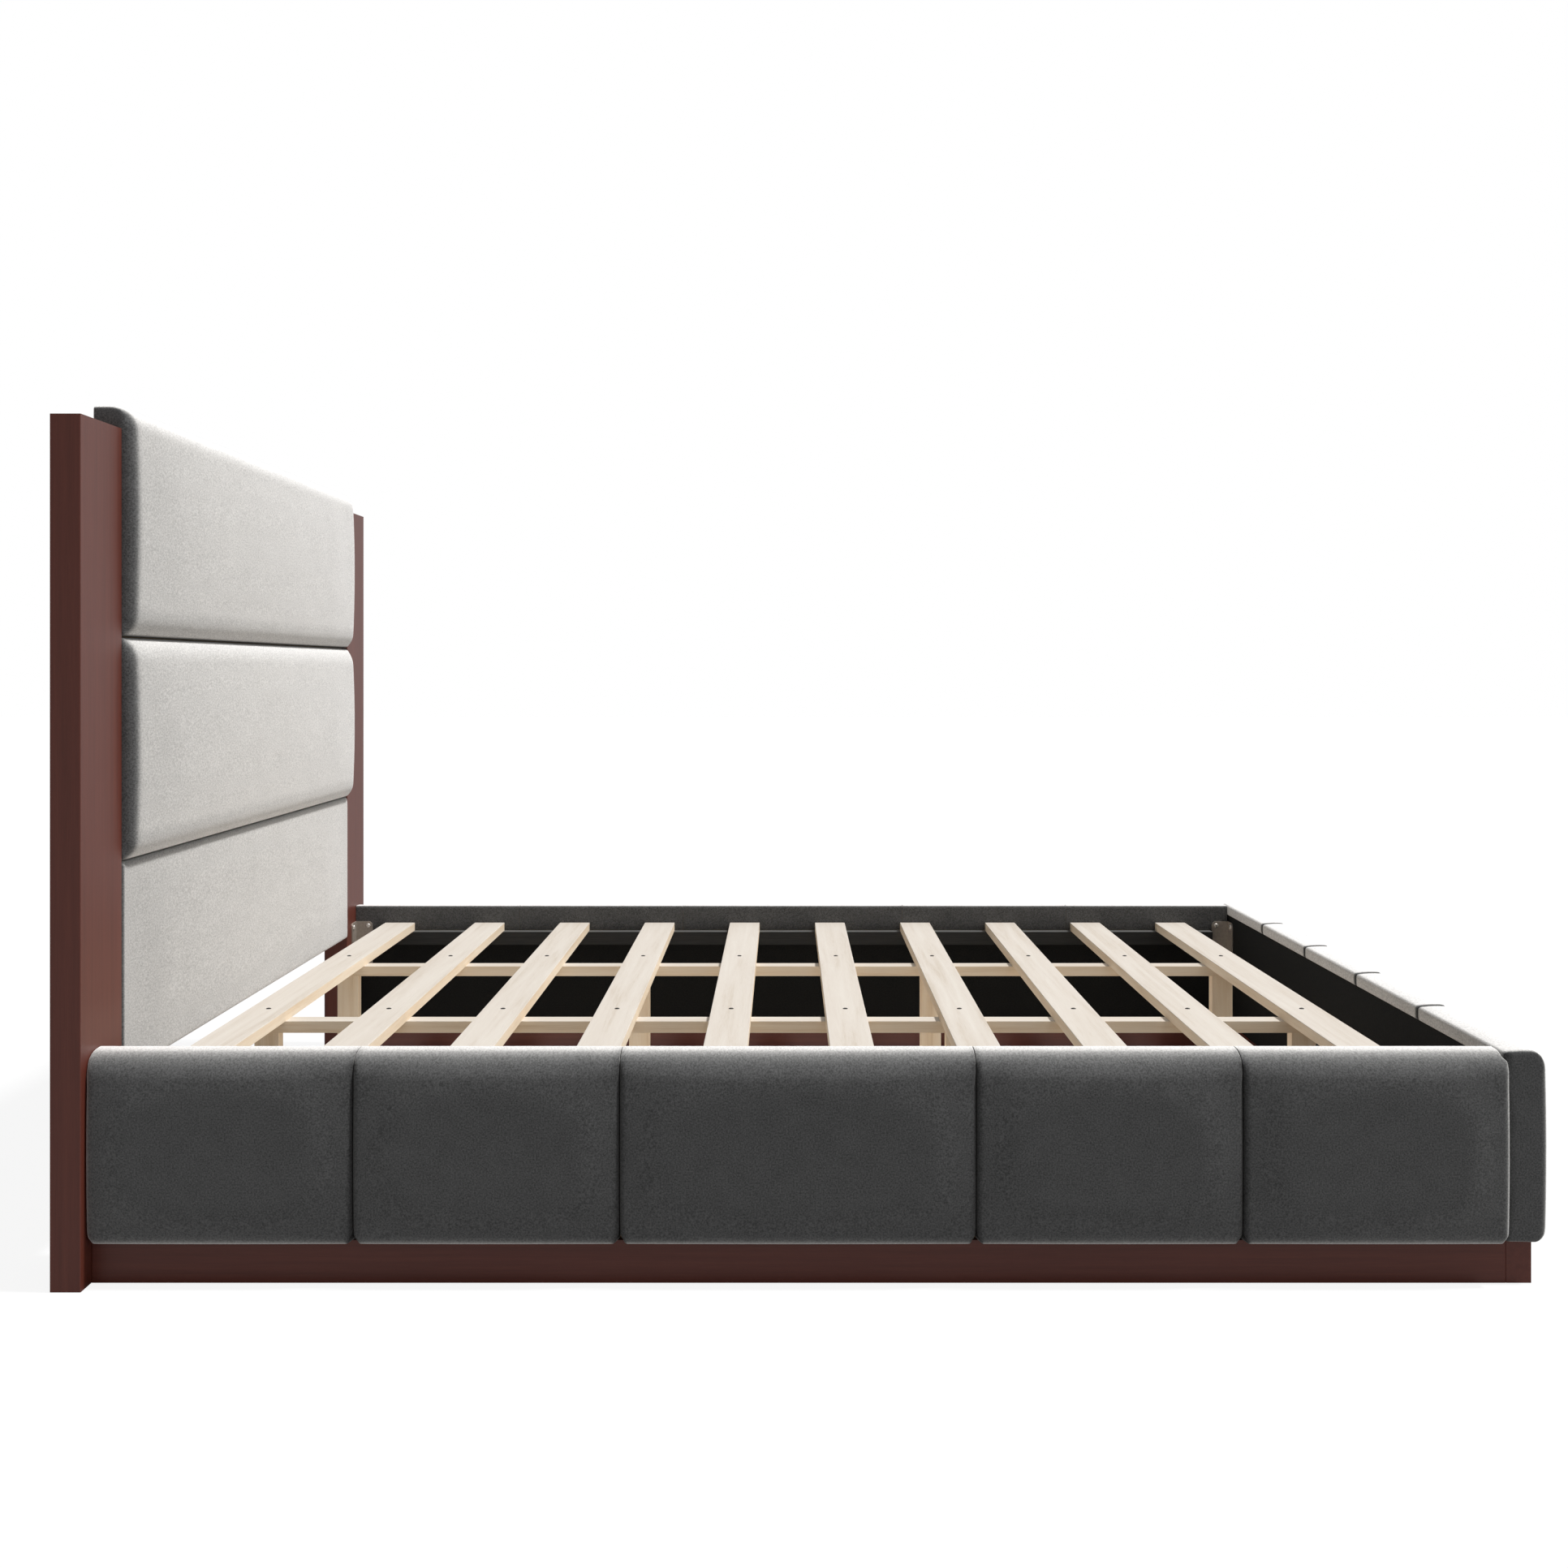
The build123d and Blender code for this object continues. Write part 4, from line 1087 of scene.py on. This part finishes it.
slat_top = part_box(slat_names[0])[1].z
screw_length = slat_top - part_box("slat_screws")[0].z
screw_profile = [(0.0, screw_dome + screw_rim)]
for number in range(1, screw_dome_steps + 1):
    angle = 0.5 * math.pi * number / screw_dome_steps
    screw_profile.append((
        screw_head_radius * math.sin(angle), screw_rim + screw_dome * math.cos(angle),
    ))
screw_profile += [
    (screw_head_radius, 0.0), (screw_neck_radius, 0.0), (screw_shank_radius, -screw_cone),
    (screw_shank_radius, screw_tip - screw_length), (0.0, -screw_length),
]


def turned_screw():
    """One screw, turned on a lathe from its profile, with its dome above its own origin."""
    mesh = bmesh.new()
    rings = []
    for radius, height in screw_profile:
        ring = []
        for number in range(screw_sides if radius else 1):
            angle = 2 * math.pi * number / screw_sides
            spot = (radius * math.cos(angle), radius * math.sin(angle), height)
            ring.append(mesh.verts.new(spot))
        rings.append(ring)
    for first, second in zip(rings, rings[1:]):
        for number in range(screw_sides):
            after = (number + 1) % screw_sides
            corners = [
                first[number % len(first)], first[after % len(first)],
                second[after % len(second)], second[number % len(second)],
            ]
            mesh.faces.new(list(dict.fromkeys(corners)))
    bmesh.ops.recalc_face_normals(mesh, faces=mesh.faces)
    return mesh


def cross_cutter():
    """The cross that a driver's tip leaves: two blades that narrow towards their points."""
    mesh = bmesh.new()
    for turn in (0, 90):
        blade = bmesh.ops.create_cube(mesh, size=1)["verts"]
        for vertex in blade:
            narrow = cross_narrow if vertex.co.z < 0 else 1.0
            vertex.co.x *= cross_length * narrow
            vertex.co.y *= cross_width * narrow
            vertex.co.z *= 2 * cross_depth
        quarter = Matrix.Rotation(math.radians(turn), 3, "Z")
        bmesh.ops.rotate(mesh, verts=blade, matrix=quarter)
        bmesh.ops.translate(mesh, verts=blade, vec=(0, 0, screw_dome + screw_rim))
    return mesh


def piece_from(name, mesh):
    """An object in the scene from a mesh under construction."""
    data = bpy.data.meshes.new(name)
    mesh.to_mesh(data)
    mesh.free()
    piece = bpy.data.objects.new(name, data)
    bpy.context.scene.collection.objects.link(piece)
    return piece


screw = piece_from("screw_blank", turned_screw())
cutter = piece_from("screw_cross", cross_cutter())
recess = screw.modifiers.new("recess", "BOOLEAN")
recess.object = cutter
recess.solver = "EXACT"
recess.use_self = True
graph = bpy.context.evaluated_depsgraph_get()
cut_screw = bpy.data.meshes.new_from_object(screw.evaluated_get(graph))
bpy.data.objects.remove(screw)
bpy.data.objects.remove(cutter)
beam_middles = [sum(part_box(side + "_beam"), Vector()).y / 2 for side in ("left", "right")]
all_screws = bmesh.new()
for number, slat_name in enumerate(slat_names, 1):
    slat_low, slat_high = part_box(slat_name)
    for row, beam_y in enumerate(beam_middles):
        before = len(all_screws.verts)
        all_screws.from_mesh(cut_screw)
        all_screws.verts.ensure_lookup_table()
        fresh = all_screws.verts[before:]
        turn = math.radians(slat_turn * number + beam_turn * row)
        bmesh.ops.rotate(all_screws, verts=fresh, matrix=Matrix.Rotation(turn, 3, "Z"))
        middle = ((slat_low.x + slat_high.x) / 2, beam_y, slat_high.z)
        bmesh.ops.translate(all_screws, verts=fresh, vec=middle)
slat_screws = piece_from("slat_screw_set", all_screws)
slat_screws.data.materials.append(screw_steel)
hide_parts("slat_screws")
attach(slat_screws, "root")


# The studio: a white floor in a white room that is a little brighter on the foot side, one key
# light high on that side with soft shadow edges, and a level camera that looks across the bed. The
# floor and the room show plain white to the camera, and send back a softer light.

floor_half = 30.0
floor_drop = 0.5 * MM
deck_shade_half = (1.0, 0.74, 1.0)
room_light = 0.48
room_lean = (0.19, 0.12, 0.0)
key_strength = 3.3
key_spread = 5
key_direction = Vector((0.42, -0.03, 0.906))
floor_mesh = bmesh.new()
bmesh.ops.create_grid(floor_mesh, x_segments=1, y_segments=1, size=floor_half)
floor_data = bpy.data.meshes.new("floor")
floor_mesh.to_mesh(floor_data)
floor_mesh.free()
floor = bpy.data.objects.new("floor", floor_data)
floor.location.z = -floor_drop
bpy.context.scene.collection.objects.link(floor)
white_floor, tree, place = new_finish("white_floor")
seen = add_node(tree, "ShaderNodeLightPath").outputs["Is Camera Ray"]
across = add_node(tree, "ShaderNodeVectorMath", {0: place}, operation="ABSOLUTE").outputs[0]
within = add_node(
    tree, "ShaderNodeVectorMath", {0: deck_shade_half, 1: across}, operation="SUBTRACT",
).outputs["Vector"]
spare = add_node(tree, "ShaderNodeSeparateXYZ", {"Vector": within})
nearest = add_node(
    tree, "ShaderNodeMath", {0: spare.outputs["X"], 1: spare.outputs["Y"]}, operation="MINIMUM",
).outputs[0]
under_deck = add_node(
    tree, "ShaderNodeMath", {0: nearest, 1: 0.0}, operation="GREATER_THAN",
).outputs[0]
floor_paint = add_node(
    tree, "ShaderNodeMix", {"Factor": under_deck, 6: srgb("#9a9a9a"), 7: srgb("#ece8e2")},
    data_type="RGBA",
).outputs[2]
matt = add_node(tree, "ShaderNodeBsdfDiffuse", {"Color": floor_paint}).outputs["BSDF"]
faint = add_node(tree, "ShaderNodeBsdfDiffuse", {"Color": srgb("#595959")}).outputs["BSDF"]
glow = add_node(tree, "ShaderNodeEmission", {"Color": srgb("#f2f2f2"), "Strength": 1.0}).outputs[0]
shown = add_node(tree, "ShaderNodeAddShader", {0: faint, 1: glow}).outputs["Shader"]
surface = add_node(tree, "ShaderNodeMixShader", {"Fac": seen, 1: matt, 2: shown})
add_node(tree, "ShaderNodeOutputMaterial", {"Surface": surface.outputs["Shader"]})
floor.data.materials.append(white_floor)

world = bpy.data.worlds.new("white_room")
bpy.context.scene.world = world
world.use_nodes = True
world.node_tree.nodes.clear()
seen = add_node(world.node_tree, "ShaderNodeLightPath").outputs["Is Camera Ray"]
direction = add_node(world.node_tree, "ShaderNodeTexCoord").outputs["Generated"]
tilt = add_node(
    world.node_tree, "ShaderNodeVectorMath", {0: direction, 1: room_lean},
    operation="DOT_PRODUCT",
).outputs["Value"]
room = add_node(
    world.node_tree, "ShaderNodeMath", {0: tilt, 1: room_light}, operation="ADD",
).outputs[0]
brightness = add_node(
    world.node_tree, "ShaderNodeMapRange",
    {"Value": seen, "From Min": 0, "From Max": 1, "To Min": room, "To Max": 1.0},
).outputs["Result"]
sky = add_node(
    world.node_tree, "ShaderNodeBackground",
    {"Color": srgb("#ffffff"), "Strength": brightness},
).outputs["Background"]
add_node(world.node_tree, "ShaderNodeOutputWorld", {"Surface": sky})

key_data = bpy.data.lights.new("key", "SUN")
key_data.energy = key_strength
key_data.angle = math.radians(key_spread)
key = bpy.data.objects.new("key", key_data)
key.rotation_mode = "QUATERNION"
key.rotation_quaternion = key_direction.to_track_quat("Z", "Y")
bpy.context.scene.collection.objects.link(key)

photo_width = 1932
photo_focal = 2150
horizon_rise = 139.6
vanishing_shift = 0.5
camera_place = Vector((-0.02165, -3.345, 0.892))
sensor = 36.0
camera_data = bpy.data.cameras.new("camera")
camera_data.sensor_width = sensor
camera_data.lens = sensor * photo_focal / photo_width
camera_data.shift_x = -vanishing_shift / photo_width
camera_data.shift_y = -horizon_rise / photo_width
camera_data.clip_end = 100
camera = bpy.data.objects.new("camera", camera_data)
camera.location = camera_place
camera.rotation_euler = (math.radians(90), 0, 0)
bpy.context.scene.collection.objects.link(camera)
bpy.context.scene.camera = camera
bpy.context.scene.view_settings.view_transform = "Standard"
